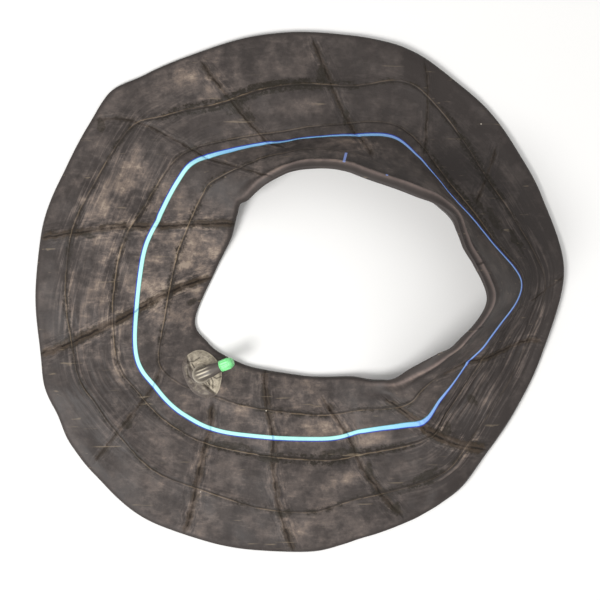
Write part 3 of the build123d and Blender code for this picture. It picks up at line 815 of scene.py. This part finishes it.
ELBOW_R = 8.0 * MM
ELBOW_STEPS = 22
STRAIGHT_STEPS = 40
STEM_SECTORS = 72
STEM_END_R = 4.75 * MM
RIDGES = ((-0.70, 0.50), (-0.15, 0.70), (0.45, 0.55))   # angle round the stem from its top, strength


def stem_path():
    """Centre points and directions along the stem's line from inside the pad to its end."""
    up = Vector((0, 0, 1))
    turn = math.pi / 2 - math.asin(STEM_AXIS.z)
    reach = ELBOW_R * math.tan(turn / 2)
    low = up * -reach
    steps = [(low + up * ((k - FOOT_RINGS) * 0.4 * MM), up) for k in range(FOOT_RINGS)]
    for k in range(ELBOW_STEPS + 1):
        a = turn * k / ELBOW_STEPS
        at = low + STEM_PLAN * (ELBOW_R - ELBOW_R * math.cos(a)) + up * (ELBOW_R * math.sin(a))
        steps.append((at, up * math.cos(a) + STEM_PLAN * math.sin(a)))
    _, far, _ = stem_span("rubber_stem")
    for k in range(1, STRAIGHT_STEPS + 1):
        steps.append((STEM_AXIS * (reach + (far - reach) * k / STRAIGHT_STEPS), STEM_AXIS))
    return steps, far


def stem_radius(distance, far, tube_r):
    """Radius of the moulded stem at a distance along its line, flared where it meets the pad."""
    taper_at = far - 5.0 * MM
    flare = 2.6 * MM * math.exp(-max(distance + 1.6 * MM, 0) / (1.5 * MM))
    if distance > taper_at:
        return tube_r + (STEM_END_R - tube_r) * (distance - taper_at) / (far - taper_at)
    return tube_r - 0.25 * MM + flare + 0.25 * MM * min(max(distance / (12 * MM), 0), 1)


def outward(ahead, angle):
    """Direction square to the stem's line, at an angle round it from its top."""
    top = HINGE_AXIS.cross(ahead).normalized()
    if top.z < 0 or (abs(top.z) < 1e-6 and top.dot(STEM_PLAN) > 0):
        top = -top
    return top * math.cos(angle) + ahead.cross(top) * math.sin(angle)


def make_stem(pad):
    """The moulded stem: a flared foot laid on the pad, an elbow wrinkled at the bend, a straight barrel."""
    pad_tree = BVHTree.FromObject(pad, bpy.context.evaluated_depsgraph_get())
    steps, far = stem_path()
    tube_r = frame["record"]["mounts"][0]["dims"]["r_mm"] * MM
    neck_r, neck_z = stem_radius(0, far, tube_r), PIVOT.z + steps[FOOT_RINGS][0].z
    distances = [0.0]
    for (a, _), (b, _) in zip(steps, steps[1:]):
        distances.append(distances[-1] + (b - a).length)
    angles = [2 * math.pi * k / STEM_SECTORS for k in range(STEM_SECTORS)]
    points, talc = [], []
    for index, ((at, ahead), gone) in enumerate(zip(steps, distances)):
        s = gone - distances[FOOT_RINGS]
        bend = math.exp(-((s - 9 * MM) / (4.4 * MM)) ** 2)
        for a in angles:
            around = (a + math.pi) % (2 * math.pi) - math.pi
            ridge = sum(h * math.exp(-((around - c) / 0.10) ** 2) for c, h in RIDGES)
            pleat = 0.22 * MM * math.sin(s / (0.9 * MM)) * max(-math.cos(a), 0) * bend
            r = stem_radius(s, far, tube_r) + bend * (ridge * 0.75 - 0.22) * MM + pleat
            away = outward(ahead, a)
            p = PIVOT + at + away * r
            if index < FOOT_RINGS:
                spread = math.pi / 2 * index / FOOT_RINGS
                p = PIVOT + away * (FOOT_R - (FOOT_R - neck_r) * math.sin(spread))
                ground = ground_under(pad_tree, PIVOT + away * FOOT_R)
                ground += FOOT_PROUD if index else -FOOT_SUNK
                p.z = ground + (neck_z - ground) * (1 - math.cos(spread))
            points.append(tuple(p))
            talc.append(min(1.0, bend * ridge * 2.4 + 0.35 * math.exp(-max(s, 0) / (3.5 * MM))))
    at, ahead = steps[-1]
    _, _, thread_r = stem_span("brass_stem")
    for r, push in ((STEM_END_R - 0.35 * MM, 0.12 * MM), (thread_r - 0.5 * MM, 0)):
        points += [tuple(PIVOT + at + ahead * push + outward(ahead, a) * r) for a in angles]
        talc += [0.1] * STEM_SECTORS
    faces = ring_faces(len(steps) + 2, STEM_SECTORS)
    faces.append(tuple(range(STEM_SECTORS - 1, -1, -1)))
    faces.append(tuple(range(len(points) - STEM_SECTORS, len(points))))
    piece = mesh_object("valve_stem_rubber", points, faces)
    store(piece.data, "talc", np.array(talc))
    return piece


def node_group(name, floats, whole=(), flags=()):
    """An empty Geometry Nodes tree and its named inputs."""
    tree = bpy.data.node_groups.new(name, "GeometryNodeTree")
    kinds = {"Geometry": "Geometry", **dict.fromkeys(floats, "Float"), **dict.fromkeys(whole, "Int"),
             **dict.fromkeys(flags, "Bool"), "Material": "Material"}
    for socket, kind in kinds.items():
        tree.interface.new_socket(socket, in_out="INPUT", socket_type="NodeSocket" + kind)
    tree.interface.new_socket("Geometry", in_out="OUTPUT", socket_type="NodeSocketGeometry")
    outputs = add(tree, "NodeGroupInput").outputs
    return tree, {socket: Value(tree, outputs[socket]) for socket in kinds}


def paint_group(tree, made, given):
    """The end of every tree: real geometry with its material."""
    real = add(tree, "GeometryNodeRealizeInstances", {0: made.outputs[0]})
    painted = add(tree, "GeometryNodeSetMaterial", {0: real.outputs[0], "Material": given["Material"]})
    add(tree, "NodeGroupOutput", {0: painted.outputs[0]})
    return tree


def wound_wall_tree():
    """Ribs wound round a cylinder: one start and a short lead is a thread, many and none are grooves."""
    tree, given = node_group(
        "wound_wall", ("Valley Radius", "Rib Height", "Start", "End", "Turns Per Metre", "Starts", "Run-out"),
        ("Segments", "Rows"), ("Inside",))
    grid = add(tree, "GeometryNodeMeshGrid", {"Size X": 1.0, "Size Y": 1.0,
                                              "Vertices X": given["Segments"], "Vertices Y": given["Rows"]})
    place = add(tree, "ShaderNodeSeparateXYZ", {0: add(tree, "GeometryNodeInputPosition").outputs[0]}).outputs
    around, up = Value(tree, place[0]) + 0.5, Value(tree, place[1]) + 0.5
    length = given["End"] - given["Start"]
    rise = up * length
    phase = rise * given["Turns Per Metre"] - around * given["Starts"]
    wave = abs(phase.sum("FRACT") - 0.5) * 2.0
    fade = rise.sum("MINIMUM", length - rise).ramp(0.0, given["Run-out"])
    radius = wave.ramp(0.16, 0.84) * fade * given["Rib Height"] + given["Valley Radius"]
    angle = around * (2 * math.pi)
    moved = add(tree, "ShaderNodeCombineXYZ", {
        0: angle.sum("COSINE") * radius, 1: angle.sum("SINE") * radius, 2: rise + given["Start"]})
    wall = add(tree, "GeometryNodeSetPosition", {"Geometry": grid.outputs[0], "Position": moved.outputs[0]})
    flipped = add(tree, "GeometryNodeFlipFaces", {0: wall.outputs[0], 1: given["Inside"]})
    joined = add(tree, "GeometryNodeJoinGeometry", {0: given["Geometry"]})
    tree.links.new(flipped.outputs[0], joined.inputs[0])
    merged = add(tree, "GeometryNodeMergeByDistance", {0: joined.outputs[0], "Distance": 0.004 * MM})
    return paint_group(tree, add(tree, "GeometryNodeSetShadeSmooth", {0: merged.outputs[0]}), given)


def coil_tree():
    """A round wire wound into a coil spring about Z."""
    tree, given = node_group("coil_spring", ("Coil Radius", "Wire Radius", "Start", "Length", "Turns"))
    line = add(tree, "GeometryNodeCurveSpiral", {
        "Resolution": 24, "Rotations": given["Turns"], "Start Radius": given["Coil Radius"],
        "End Radius": given["Coil Radius"], "Height": given["Length"]})
    lift = add(tree, "ShaderNodeCombineXYZ", {2: given["Start"]})
    raised = add(tree, "GeometryNodeSetPosition", {"Geometry": line.outputs[0], "Offset": lift.outputs[0]})
    ring = add(tree, "GeometryNodeCurvePrimitiveCircle", {"Resolution": 10, "Radius": given["Wire Radius"]})
    wire = add(tree, "GeometryNodeCurveToMesh", {0: raised.outputs[0], 1: ring.outputs[0], "Fill Caps": True})
    return paint_group(tree, wire, given)


def wound(name, outline, segments, place, tree, values):
    """A lathed solid that is open along one wall, closed there by the wound wall of a tree."""
    points, faces = lathe(outline, segments)
    piece = mesh_object(name, points, faces)
    modifier = piece.modifiers.new("wound wall", "NODES")
    modifier.node_group = tree
    settle(piece, modifier, {"Segments": segments + 1, **values})
    piece.data.transform(place)
    return piece


# ---- Finishes ---------------------------------------------------------------------------------------
class Finish:
    """A procedural material: its coordinates, marks, noises and blends, and its links to the shader."""

    def __init__(self, name):
        self.material = bpy.data.materials.new(name)
        self.material.use_nodes = True
        self.tree = self.material.node_tree
        self.tree.nodes.clear()
        self.shader = add(self.tree, "ShaderNodeBsdfPrincipled")
        add(self.tree, "ShaderNodeOutputMaterial", {"Surface": self.shader.outputs[0]})
        self.place = add(self.tree, "ShaderNodeTexCoord").outputs["Object"]

    def mark(self, name):
        """A value stored on the mesh."""
        return Value(self.tree, add(self.tree, "ShaderNodeAttribute", attribute_name=name).outputs["Fac"])

    def uv(self, name):
        """A UV map, and its two numbers."""
        coords = add(self.tree, "ShaderNodeUVMap", uv_map=name).outputs[0]
        parts = add(self.tree, "ShaderNodeSeparateXYZ", {0: coords}).outputs
        return coords, Value(self.tree, parts[0]), Value(self.tree, parts[1])

    def stretched(self, coords, along, turn=0.0):
        """Coordinates turned about Z, then drawn out so that a noise on them becomes strokes."""
        sockets = {0: coords, 2: (0, 0, turn), 3: (along, 1.0, 1.0)}
        return add(self.tree, "ShaderNodeMapping", sockets).outputs[0]

    def noise(self, size, detail=3.0, roughness=0.5, coords=None):
        """Noise whose features are size millimetres apart."""
        sockets = {"Vector": coords or self.place, "Scale": per(size), "Detail": detail,
                   "Roughness": roughness}
        return Value(self.tree, add(self.tree, "ShaderNodeTexNoise", sockets).outputs[0])

    def blend(self, share, low, high):
        """Colour between two others by a share."""
        return add(self.tree, "ShaderNodeMix", {0: share, 6: low, 7: high}, data_type="RGBA").outputs[2]

    def close(self, colour, roughness, height=None, strength=0.0, depth=0.0, **others):
        """Colour, roughness, bump and any other settings into the shader; the finished material."""
        if height is not None:
            sockets = {"Strength": strength, "Distance": depth * MM, "Height": height}
            others["Normal"] = add(self.tree, "ShaderNodeBump", sockets).outputs[0]
        for key, value in {"Base Color": colour, "Roughness": roughness, **others}.items():
            socket = self.shader.inputs[key.replace("_", " ")]
            value = value.socket if isinstance(value, Value) else value
            if isinstance(value, bpy.types.NodeSocket):
                self.tree.links.new(value, socket)
            else:
                socket.default_value = value
        return self.material


RUBBER_TONES = ((0.0, "#302a28"), (0.22, "#433c39"), (0.50, "#5f5550"), (0.78, "#807166"), (1.0, "#9d8d7e"))


def butyl_rubber(looks):
    """Aged butyl, calendered and vulcanised: dull grey-brown, dusty, cracked brown along old folds."""
    skin = Finish("aged_butyl_rubber")
    noise, blend = skin.noise, skin.blend
    _, fold_offset, ring_offset = skin.uv("fold_lines")
    _, stripe_offset, haziness_and_highlight = skin.uv("paint")
    band, _, band_across = skin.uv("band")
    fold_mark, ring_mark, streaks, tick, edge, bead, stripe_light_and_width, stained, pale = (skin.mark(name) for name in (
        "fold_mark", "ring_mark", "streaks", "tick_offset", "edge_offset", "bead", "ink", "stained", "pale"))

    # Where each old fold runs, with a ragged edge
    wobble = noise(7, 4).centred(3.4 * MM)
    ragged = noise(1.8, 4, 0.65).centred(4.0 * MM)
    fold_line = fold_offset + wobble
    fold = abs(fold_line + ragged * 0.4)
    fold_wide = abs(fold_line + ragged * 1.6) - (fold_mark - 0.8) * (6.0 * MM)
    ring_line = ring_offset + wobble * 0.35
    ring_wide = abs(ring_line + ragged * 1.5) - (ring_mark - 0.8) * (5.0 * MM)
    patches = noise(15, 4, 0.6).ramp(0.40, 0.54)
    patches_b = noise(22, 4, 0.6).ramp(0.42, 0.56)

    # Dust: settled in clouds, wiped into strokes along the ring and along the folds. Painted light goes into the
    # same tone: highlights on the collar's bead and on the outer band at the top left, shade in the bead's groove
    # and on the folded edges
    mottle = noise(12, 8, 0.72)
    along_ring = skin.stretched(band, 0.07)
    fine_streak = noise(2.6, 4, 0.6, along_ring)
    wide_streak = noise(8.0, 3, 0.55, along_ring)
    along_fold = add(skin.tree, "ShaderNodeCombineXYZ", {0: fold_line, 1: band_across * 0.16}).outputs[0]
    fold_streak = noise(2.2, 4, 0.6, along_fold)
    wipe = noise(8.0, 6, 0.70, skin.stretched(band, 0.80))
    billow = noise(19, 6, 0.66).ramp(0.42, 0.60)
    rub = noise(4.0, 5, 0.7, skin.stretched(skin.place, 0.25, 0.95)).ramp(0.50, 0.66)
    settled_and_highlight = haziness_and_highlight.sum("MAXIMUM", 0.12)
    dust_and_painted_light = haziness_and_highlight * 0.44 + 0.10 + noise(48, 4, 0.55).centred(0.7)
    dust_and_painted_light += mottle.centred(1.7) * (settled_and_highlight * 0.7 + 0.3)
    dust_and_painted_light += wipe.centred(1.1) * settled_and_highlight
    dust_and_painted_light += billow.centred(0.34) * (settled_and_highlight * 0.6 + 0.4)
    dust_and_painted_light += (rub - 0.25) * (settled_and_highlight * 0.22 + 0.05)
    bundle = abs(ring_line).near(3.0, 13.0) * ring_mark
    streak_share = streaks * (bundle * 0.8 + 0.4)
    dust_and_painted_light += (fine_streak.centred(1.0) + (fine_streak.ramp(0.50, 0.58) - 0.3) * 0.42) * streak_share
    dust_and_painted_light += wide_streak.centred(0.9) * streaks
    beside = fold_wide.near(2.0, 13.0) * fold_mark
    dust_and_painted_light += beside * fold_streak.centred(2.0)
    dust_and_painted_light += fold_wide.near(0.8, 6.0) * fold_mark * patches_b * (settled_and_highlight * 0.26 + 0.10)
    # Pale dust patches, the first of them a painted highlight
    dust_and_painted_light += pale.ramp(-0.5, 0.7) * (mottle * 0.55 + 0.02)
    # The bead's painted highlight and its groove's painted shade
    dust_and_painted_light += bead * 0.40
    # Darker on the folded edges, where they roll away from the light: painted shade
    dust_and_painted_light *= edge.ramp(0.6 * MM, 5.0 * MM, 0.15, 1.0)
    tones = add(skin.tree, "ShaderNodeValToRGB", {0: dust_and_painted_light})
    while len(tones.color_ramp.elements) < len(RUBBER_TONES):
        tones.color_ramp.elements.new(0.5)
    for element, (at, code) in zip(tones.color_ramp.elements, RUBBER_TONES):
        element.position = at
        element.color = linear(code)
    colour = blend(0.16, tones.outputs[0], tuple(looks.rubber))
    # Pinkish painted highlight on the bead's top
    colour = blend(bead.sum("MAXIMUM", 0.0) * 0.35, colour, "#96827c")

    # Stains and cracks that old folds left
    def patchy(mark):
        return patches.sum("MAXIMUM", mark * 2.4 + (patches - 2.5)).sum("MINIMUM", 1.0)

    stain = fold_wide.near(1.0, 4.4) * (fold_mark * patchy(fold_mark))
    colour = blend(stain * 0.92, colour, "#241e16")
    colour = blend(fold_wide.near(0.4, 2.6) * fold_mark * 0.55, colour, "#4a3c2f")
    crack = fold.near(0.2, 1.3) * fold_mark * (patches * 0.5 + 0.35)
    colour = blend(crack, colour, "#1b1511")
    speckle = noise(3.2, 3, 0.6).ramp(0.42, 0.56)
    ring_stain = ring_wide.near(0.8, 4.0) * ring_mark * patchy(ring_mark) * (speckle * 0.7 + 0.3)
    colour = blend(ring_stain.sum("MINIMUM", 0.92), colour, "#241e16")
    ring_dark = abs(ring_line + 0.9 * MM).near(0.2, 1.2) * ring_mark
    colour = blend(ring_dark * 0.75, colour, "#261f1a")
    ring_pale = abs(ring_line - 0.4 * MM).near(0.1, 0.85) * ring_mark
    colour = blend(ring_pale * (settled_and_highlight * 0.35 + 0.15) * (patches_b * 0.8 + 0.25), colour, "#a08a70")
    blotch = (noise(6, 5, 0.68).centred(2.6) + stained).ramp(0.0, 0.35)
    colour = blend(blotch * (speckle * 0.22 + 0.58), colour, "#241e14")

    # Scratches and specks
    scratch = noise(3.2, 2, coords=skin.stretched(skin.place, 0.05, 0.7)).ramp(0.68, 0.76)
    colour = blend(scratch * 0.32, colour, "#9c8b74")
    specks = add(skin.tree, "ShaderNodeTexVoronoi", {"Vector": skin.place, "Scale": per(14)}).outputs
    drawn = Value(skin.tree, add(skin.tree, "ShaderNodeSeparateXYZ", {0: specks["Color"]}).outputs[0])
    speck = drawn.sum("GREATER_THAN", 0.90) * Value(skin.tree, specks["Distance"]).ramp(0.055, 0.035)
    colour = blend(speck * 0.7, colour, "#c5bbac")

    # The painted stripe: pale at the left, thin and blue at the right. Its paleness at the left and bottom is a
    # painted highlight, and its darker blue at the top and right is painted shade
    half = stripe_light_and_width * (0.25 * MM) + (looks.stripe_width / 2 + 0.15 * MM)
    stripe = stripe_offset + ragged * 0.05
    on_stripe = (abs(stripe) - half).ramp(0.2 * MM, -0.2 * MM)
    core = (abs(stripe + 0.26 * MM) - half).ramp(-0.25 * MM, -0.95 * MM)
    # Painted light on the stripe: paler at the left and bottom, darker blue at the top and right
    bright = stripe_light_and_width + noise(26, 2).centred(0.4)
    core_colour = blend(bright.ramp(0.15, 0.62), "#8db0ee", "#8cc8f0")
    core_colour = blend(bright.ramp(0.5, 0.95), core_colour, tuple(looks.stripe))
    ink = blend(core, blend(stripe.ramp(-1 * MM, 1 * MM), "#2f6f66", "#2338a6"), core_colour)
    colour = blend(on_stripe, colour, blend(crack * 0.55, ink, "#3b62c4"))
    colour = blend(tick.ramp(1.3 * MM, 0.7 * MM) * 0.8, colour, "#8fa6e8")

    rough = mottle.centred(0.35) + (settled_and_highlight * 0.10 + 0.54) + crack * 0.25
    height = noise(1.6, 3, 0.6) * 0.22 + mottle * 0.6 - crack * 1.3 + fine_streak * streaks * 1.6
    height += fold_streak * beside * 1.4 + ring_pale * 0.6 - ring_dark * 0.5 + on_stripe * 0.12
    return skin.close(colour, rough, height, 0.65, 0.6, IOR=1.52, Specular_IOR_Level=0.3)


def filmed_rubber(looks):
    """Compression-moulded rubber pad under a dried talc film: chalky beige, dark where it has cracked."""
    skin = Finish("talc_filmed_rubber")
    blotch, flecks = skin.noise(5, 5, 0.6), skin.noise(1.3, 3, 0.6)
    cover = (blotch * 1.3 + (skin.mark("film") * 0.95 - 0.85)).ramp(0.0, 0.8)
    colour = skin.blend(cover, "#544b45", tuple(looks.film))
    colour = skin.blend(flecks.ramp(0.50, 0.62, 0.0, 0.45), colour, "#7a7064")
    colour = skin.blend(skin.mark("crack") * 0.85, colour, "#37302a")
    return skin.close(colour, 0.66, blotch * 0.7 + flecks * 0.4, 0.5, 0.35)


def stem_rubber():
    """Moulded stem rubber: darker and tighter than the casing, with talc rubbed onto its ridges."""
    skin = Finish("moulded_stem_rubber")
    blotch = skin.noise(4, 4, 0.6)
    colour = skin.blend(blotch, "#443e3b", "#5f5750")
    colour = skin.blend(skin.mark("talc") * (blotch * 0.8 + 0.6), colour, "#cfc5b0")
    return skin.close(colour, blotch * 0.2 + 0.42, skin.noise(0.8, 3, 0.6), 0.35, 0.2)


def turned_metal(name, clean, dull, roughness):
    """Turned or drawn metal: fine tool marks, duller in patches where it was handled."""
    skin = Finish(name)
    tarnish = skin.noise(3, 4, 0.6)
    colour = skin.blend(tarnish.ramp(0.4, 0.65), clean, dull)
    return skin.close(colour, tarnish * 0.25 + roughness, skin.noise(0.5, 2), 0.15, 0.05, Metallic=1.0)


def seal_rubber():
    """Moulded nitrile seal: near black, matt, with a faint bloom."""
    skin = Finish("moulded_nitrile_seal")
    bloom = skin.noise(1.5, 4, 0.6)
    colour = skin.blend(bloom.ramp(0.5, 0.7, 0.0, 0.5), "#1c1b1a", "#3a3835")
    return skin.close(colour, 0.62, bloom, 0.3, 0.1)


def cap_plastic(looks):
    """Injection-moulded polypropylene: saturated green, slightly waxy, lets a little light through."""
    skin = Finish("moulded_green_polypropylene")
    flow = skin.noise(6, 3)
    deep = tuple(channel * 0.72 for channel in tuple(looks.cap)[:3]) + (1.0,)
    colour = skin.blend(flow.ramp(0.35, 0.65), deep, tuple(looks.cap))
    return skin.close(colour, flow * 0.12 + 0.30, skin.noise(0.5, 3), 0.12, 0.08, IOR=1.49,
                      Subsurface_Weight=0.12, Subsurface_Radius=(1.0 * MM, 2.0 * MM, 1.0 * MM),
                      Subsurface_Scale=1.0)


def dress(node, material):
    """A finish on a CAD node whose shape is right."""
    piece = frame["nodes"][node]
    piece.data.materials.clear()
    piece.data.materials.append(material)
    for polygon in piece.data.polygons:
        polygon.material_index = 0


def shared(name, make):
    """The material of that name, made the first time it is asked for."""
    return bpy.data.materials.get(name) or make()


# ---- Operators ----------------------------------------------------------------------------------------
class TUBE_OT_casing(bpy.types.Operator):
    """Make the slack rubber ring with its folds, stripe and dust"""
    bl_idname = "tube.casing"
    bl_label = "Rubber casing"

    def execute(self, context):
        looks = context.scene.casing_looks
        piece = make_casing(looks)
        piece.data.materials.append(butyl_rubber(looks))
        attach(piece, "tube")
        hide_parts("tube_casing")
        return {"FINISHED"}


class TUBE_OT_valve_pad(bpy.types.Operator):
    """Make the oval base pad on the casing's surface"""
    bl_idname = "tube.valve_pad"
    bl_label = "Valve base pad"

    def execute(self, context):
        piece = make_pad(bpy.data.objects["rubber_casing"])
        piece.data.materials.append(filmed_rubber(context.scene.valve_looks))
        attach(piece, "tube")
        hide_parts("valve_pad")
        return {"FINISHED"}


class TUBE_OT_stem(bpy.types.Operator):
    """Make the rubber stem that bends over from the pad"""
    bl_idname = "tube.stem"
    bl_label = "Rubber stem"

    def execute(self, context):
        piece = make_stem(bpy.data.objects["valve_base_pad"])
        piece.data.materials.append(stem_rubber())
        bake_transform(piece)
        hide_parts("rubber_stem")
        return {"FINISHED"}


class TUBE_OT_brass(bpy.types.Operator):
    """Make the threaded brass insert"""
    bl_idname = "tube.brass"
    bl_label = "Threaded brass stem"

    def execute(self, context):
        looks = context.scene.valve_looks
        foot, tip, thread_r = stem_span("brass_stem")
        _, rubber_end, _ = stem_span("rubber_stem")
        _, _, head_r = stem_span("core_head")
        bore_r = head_r + 0.05 * MM
        root_r = thread_r - looks.thread_depth
        thread_end = tip - 0.55 * MM
        outline = [
            (root_r, thread_end), (root_r - 0.1 * MM, tip - 0.12 * MM), (root_r - 0.25 * MM, tip),
            (bore_r + 0.15 * MM, tip), (bore_r, tip - 0.15 * MM), (bore_r, tip - 7 * MM),
            (bore_r - 0.55 * MM, tip - 8.5 * MM), (bore_r - 0.55 * MM, foot),
            (thread_r - 0.55 * MM, foot), (thread_r - 0.55 * MM, rubber_end - 0.3 * MM), (root_r, rubber_end)]
        metal = shared("turned_brass", lambda: turned_metal("turned_brass", "#c9a455", "#9a7a3c", 0.22))
        piece = wound("brass_stem_threaded", outline, 64, stem_place(), wound_wall_tree(), {
            "Valley Radius": root_r, "Rib Height": looks.thread_depth, "Start": rubber_end, "End": thread_end,
            "Turns Per Metre": 1 / looks.pitch, "Starts": 1.0, "Run-out": 0.6 * MM, "Rows": 90,
            "Inside": False, "Material": metal})
        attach(piece, "valve_stem")
        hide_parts("brass_stem")
        return {"FINISHED"}


class TUBE_OT_core(bpy.types.Operator):
    """Make the core's spring and finish its metal and rubber pieces"""
    bl_idname = "tube.core"
    bl_label = "Valve core"

    def execute(self, context):
        looks = context.scene.valve_looks
        nickel = turned_metal("nickel_washed_brass", "#c3b48a", "#948564", 0.24)
        rubber = shared("moulded_nitrile_seal", seal_rubber)
        for node in ("core_head", "core_barrel", "core_pin"):
            dress(node, nickel)
        dress("core_cup", bpy.data.materials["turned_brass"])
        for node in ("barrel_gasket", "cup_seal", "cap_seal"):
            dress(node, rubber)
        start, end, coil_r = stem_span("core_spring")
        wire_r = 0.14 * MM
        steel = turned_metal("drawn_spring_steel", "#b9b9bb", "#8d8d90", 0.20)
        piece = mesh_object("core_spring_coil", [(0, 0, 0)], [])
        modifier = piece.modifiers.new("coil", "NODES")
        modifier.node_group = coil_tree()
        settle(piece, modifier, {
            "Coil Radius": coil_r - wire_r, "Wire Radius": wire_r, "Start": start + wire_r,
            "Length": end - start - 2 * wire_r, "Turns": float(looks.spring_turns), "Material": steel})
        piece.data.transform(stem_place())
        piece.data.polygons.foreach_set("use_smooth", np.ones(len(piece.data.polygons), bool))
        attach(piece, "valve_stem")
        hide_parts("core_spring")
        travel = -min(JOINTS["core_press"]["range_m"])
        (end - start - travel) / (end - start)
        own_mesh(piece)
        return {"FINISHED"}


class TUBE_OT_cap(bpy.types.Operator):
    """Make the green cap with its finger grooves and inner thread"""
    bl_idname = "tube.cap"
    bl_label = "Valve cap"

    def execute(self, context):
        looks = context.scene.valve_looks
        mouth, end, cap_r = stem_span("valve_cap")
        _, seal_end, _ = stem_span("cap_seal")
        _, _, thread_r = stem_span("brass_stem")
        depth = looks.thread_depth
        bore_r = thread_r + 0.08 * MM
        grip_r, groove = cap_r - 0.42 * MM, 0.42 * MM
        grip_start, grip_end = mouth + 1.3 * MM, end - 3.2 * MM
        pocket = seal_end + 0.05 * MM
        plastic = cap_plastic(looks)
        segments = 144
        tree = wound_wall_tree()
        outer = [(grip_r, grip_end), (grip_r + 0.1 * MM, grip_end + 0.25 * MM), (grip_r, grip_end + 0.7 * MM),
                 (cap_r - 1.05 * MM, end - 1.3 * MM), (cap_r - 1.45 * MM, end - 0.55 * MM),
                 (cap_r - 2.1 * MM, end - 0.12 * MM), (cap_r - 2.9 * MM, end),
                 (0.65 * MM, end), (0.55 * MM, end - 0.12 * MM), (0, end - 0.12 * MM)]
        inner = [(0, pocket), (bore_r, pocket), (bore_r, pocket - 1.4 * MM)]
        lip = [(bore_r, mouth + 0.9 * MM), (bore_r + 0.2 * MM, mouth), (cap_r - 0.25 * MM, mouth),
               (cap_r, mouth + 0.3 * MM), (cap_r, mouth + 0.8 * MM), (grip_r, grip_start)]
        shell = lathe(outer, segments)
        points, faces = list(shell[0]), list(shell[1])
        for part in (inner, lip):
            more, more_faces = lathe(part, segments)
            faces += [[k + len(points) for k in face] for face in more_faces]
            points += more
        piece = mesh_object("valve_cap_green", points, faces)
        for name, values in (
                ("finger grooves", {"Valley Radius": grip_r, "Rib Height": groove, "Start": grip_start,
                                    "End": grip_end, "Turns Per Metre": 0.0, "Starts": float(looks.grooves),
                                    "Run-out": 0.8 * MM, "Rows": 24, "Inside": False}),
                ("inner thread", {"Valley Radius": bore_r, "Rib Height": -depth, "Start": mouth + 0.9 * MM,
                                  "End": pocket - 1.4 * MM, "Turns Per Metre": 1 / looks.pitch, "Starts": 1.0,
                                  "Run-out": 0.6 * MM, "Rows": 70, "Inside": True})):
            modifier = piece.modifiers.new(name, "NODES")
            modifier.node_group = tree
            settle(piece, modifier, {"Segments": segments + 1, "Material": plastic, **values})
        piece.data.transform(stem_place())
        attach(piece, "valve_cap")
        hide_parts("valve_cap")
        return {"FINISHED"}


FLOOR_REACH = 6.0
FLOOR_LEVEL = -0.3 * MM
LAMPS = (                          # name, place, size, watts
    ("key_light", (-1.1, -0.9, 1.45), 0.9, 34.0),
    ("fill_light", (1.1, -0.2, 1.7), 1.6, 4.0),
    ("top_light", (-0.2, 1.2, 1.8), 1.4, 4.0))
WORLD_STRENGTH = 0.55
CAMERA_PLAN = (-0.8 * MM, -6.9 * MM)


class TUBE_OT_stage(bpy.types.Operator):
    """Make the pale floor, the soft lights and the camera"""
    bl_idname = "tube.stage"
    bl_label = "Stage"

    def execute(self, context):
        looks = context.scene.stage_looks
        corners = [(x * FLOOR_REACH, y * FLOOR_REACH, FLOOR_LEVEL)
                   for x, y in ((-1, -1), (1, -1), (1, 1), (-1, 1))]
        floor = mesh_object("pale_floor", corners, [(0, 1, 2, 3)])
        paint = Finish("painted_floor")
        colour = paint.blend(paint.noise(40, 2) * 0.05, tuple(looks.floor), "#e6e4e0")
        floor.data.materials.append(paint.close(colour, 0.7))
        for name, place, size, power in LAMPS:
            data = bpy.data.lights.new(name, "AREA")
            data.shape = "DISK"
            data.size = size
            data.energy = power
            lamp = bpy.data.objects.new(name, data)
            lamp.location = place
            lamp.rotation_euler = (-Vector(place)).to_track_quat("-Z", "Y").to_euler()
            context.scene.collection.objects.link(lamp)
        world = bpy.data.worlds.new("soft_white")
        world.use_nodes = True
        background = world.node_tree.nodes["Background"]
        background.inputs["Color"].default_value = (1, 1, 1, 1)
        background.inputs["Strength"].default_value = WORLD_STRENGTH
        context.scene.world = world
        data = bpy.data.cameras.new("overhead_camera")
        data.lens = data.sensor_width * looks.camera_height / looks.view_width
        camera = bpy.data.objects.new("overhead_camera", data)
        camera.location = (*CAMERA_PLAN, looks.camera_height)
        context.scene.collection.objects.link(camera)
        context.scene.camera = camera
        context.scene.view_settings.view_transform = "Standard"
        return {"FINISHED"}


class TUBE_PT_workshop(bpy.types.Panel):
    """Lists every step that makes the tube"""
    bl_label = "Inner Tube"
    bl_idname = "TUBE_PT_workshop"
    bl_space_type = "VIEW_3D"
    bl_region_type = "UI"
    bl_category = "Inner Tube"

    def draw(self, context):
        for group in ("casing_looks", "valve_looks", "stage_looks"):
            looks = getattr(context.scene, group)
            box = self.layout.box()
            for key in looks.bl_rna.properties.keys():
                if key not in ("rna_type", "name"):
                    box.prop(looks, key)
        for step in STEPS:
            self.layout.operator(step.bl_idname)


GROUPS = (("casing_looks", CasingLooks), ("valve_looks", ValveLooks), ("stage_looks", StageLooks))
STEPS = (TUBE_OT_casing, TUBE_OT_valve_pad, TUBE_OT_stem, TUBE_OT_brass, TUBE_OT_core, TUBE_OT_cap,
         TUBE_OT_stage)


def register():
    for name, group in GROUPS:
        bpy.utils.register_class(group)
        setattr(bpy.types.Scene, name, bpy.props.PointerProperty(type=group))
    for step in (*STEPS, TUBE_PT_workshop):
        bpy.utils.register_class(step)


def unregister():
    for step in reversed((*STEPS, TUBE_PT_workshop)):
        bpy.utils.unregister_class(step)
    for name, group in reversed(GROUPS):
        delattr(bpy.types.Scene, name)
        bpy.utils.unregister_class(group)


def main():
    register()
    for step in STEPS:
        group, name = step.bl_idname.split(".")
        getattr(getattr(bpy.ops, group), name)()


if __name__ == "__main__":
    main()
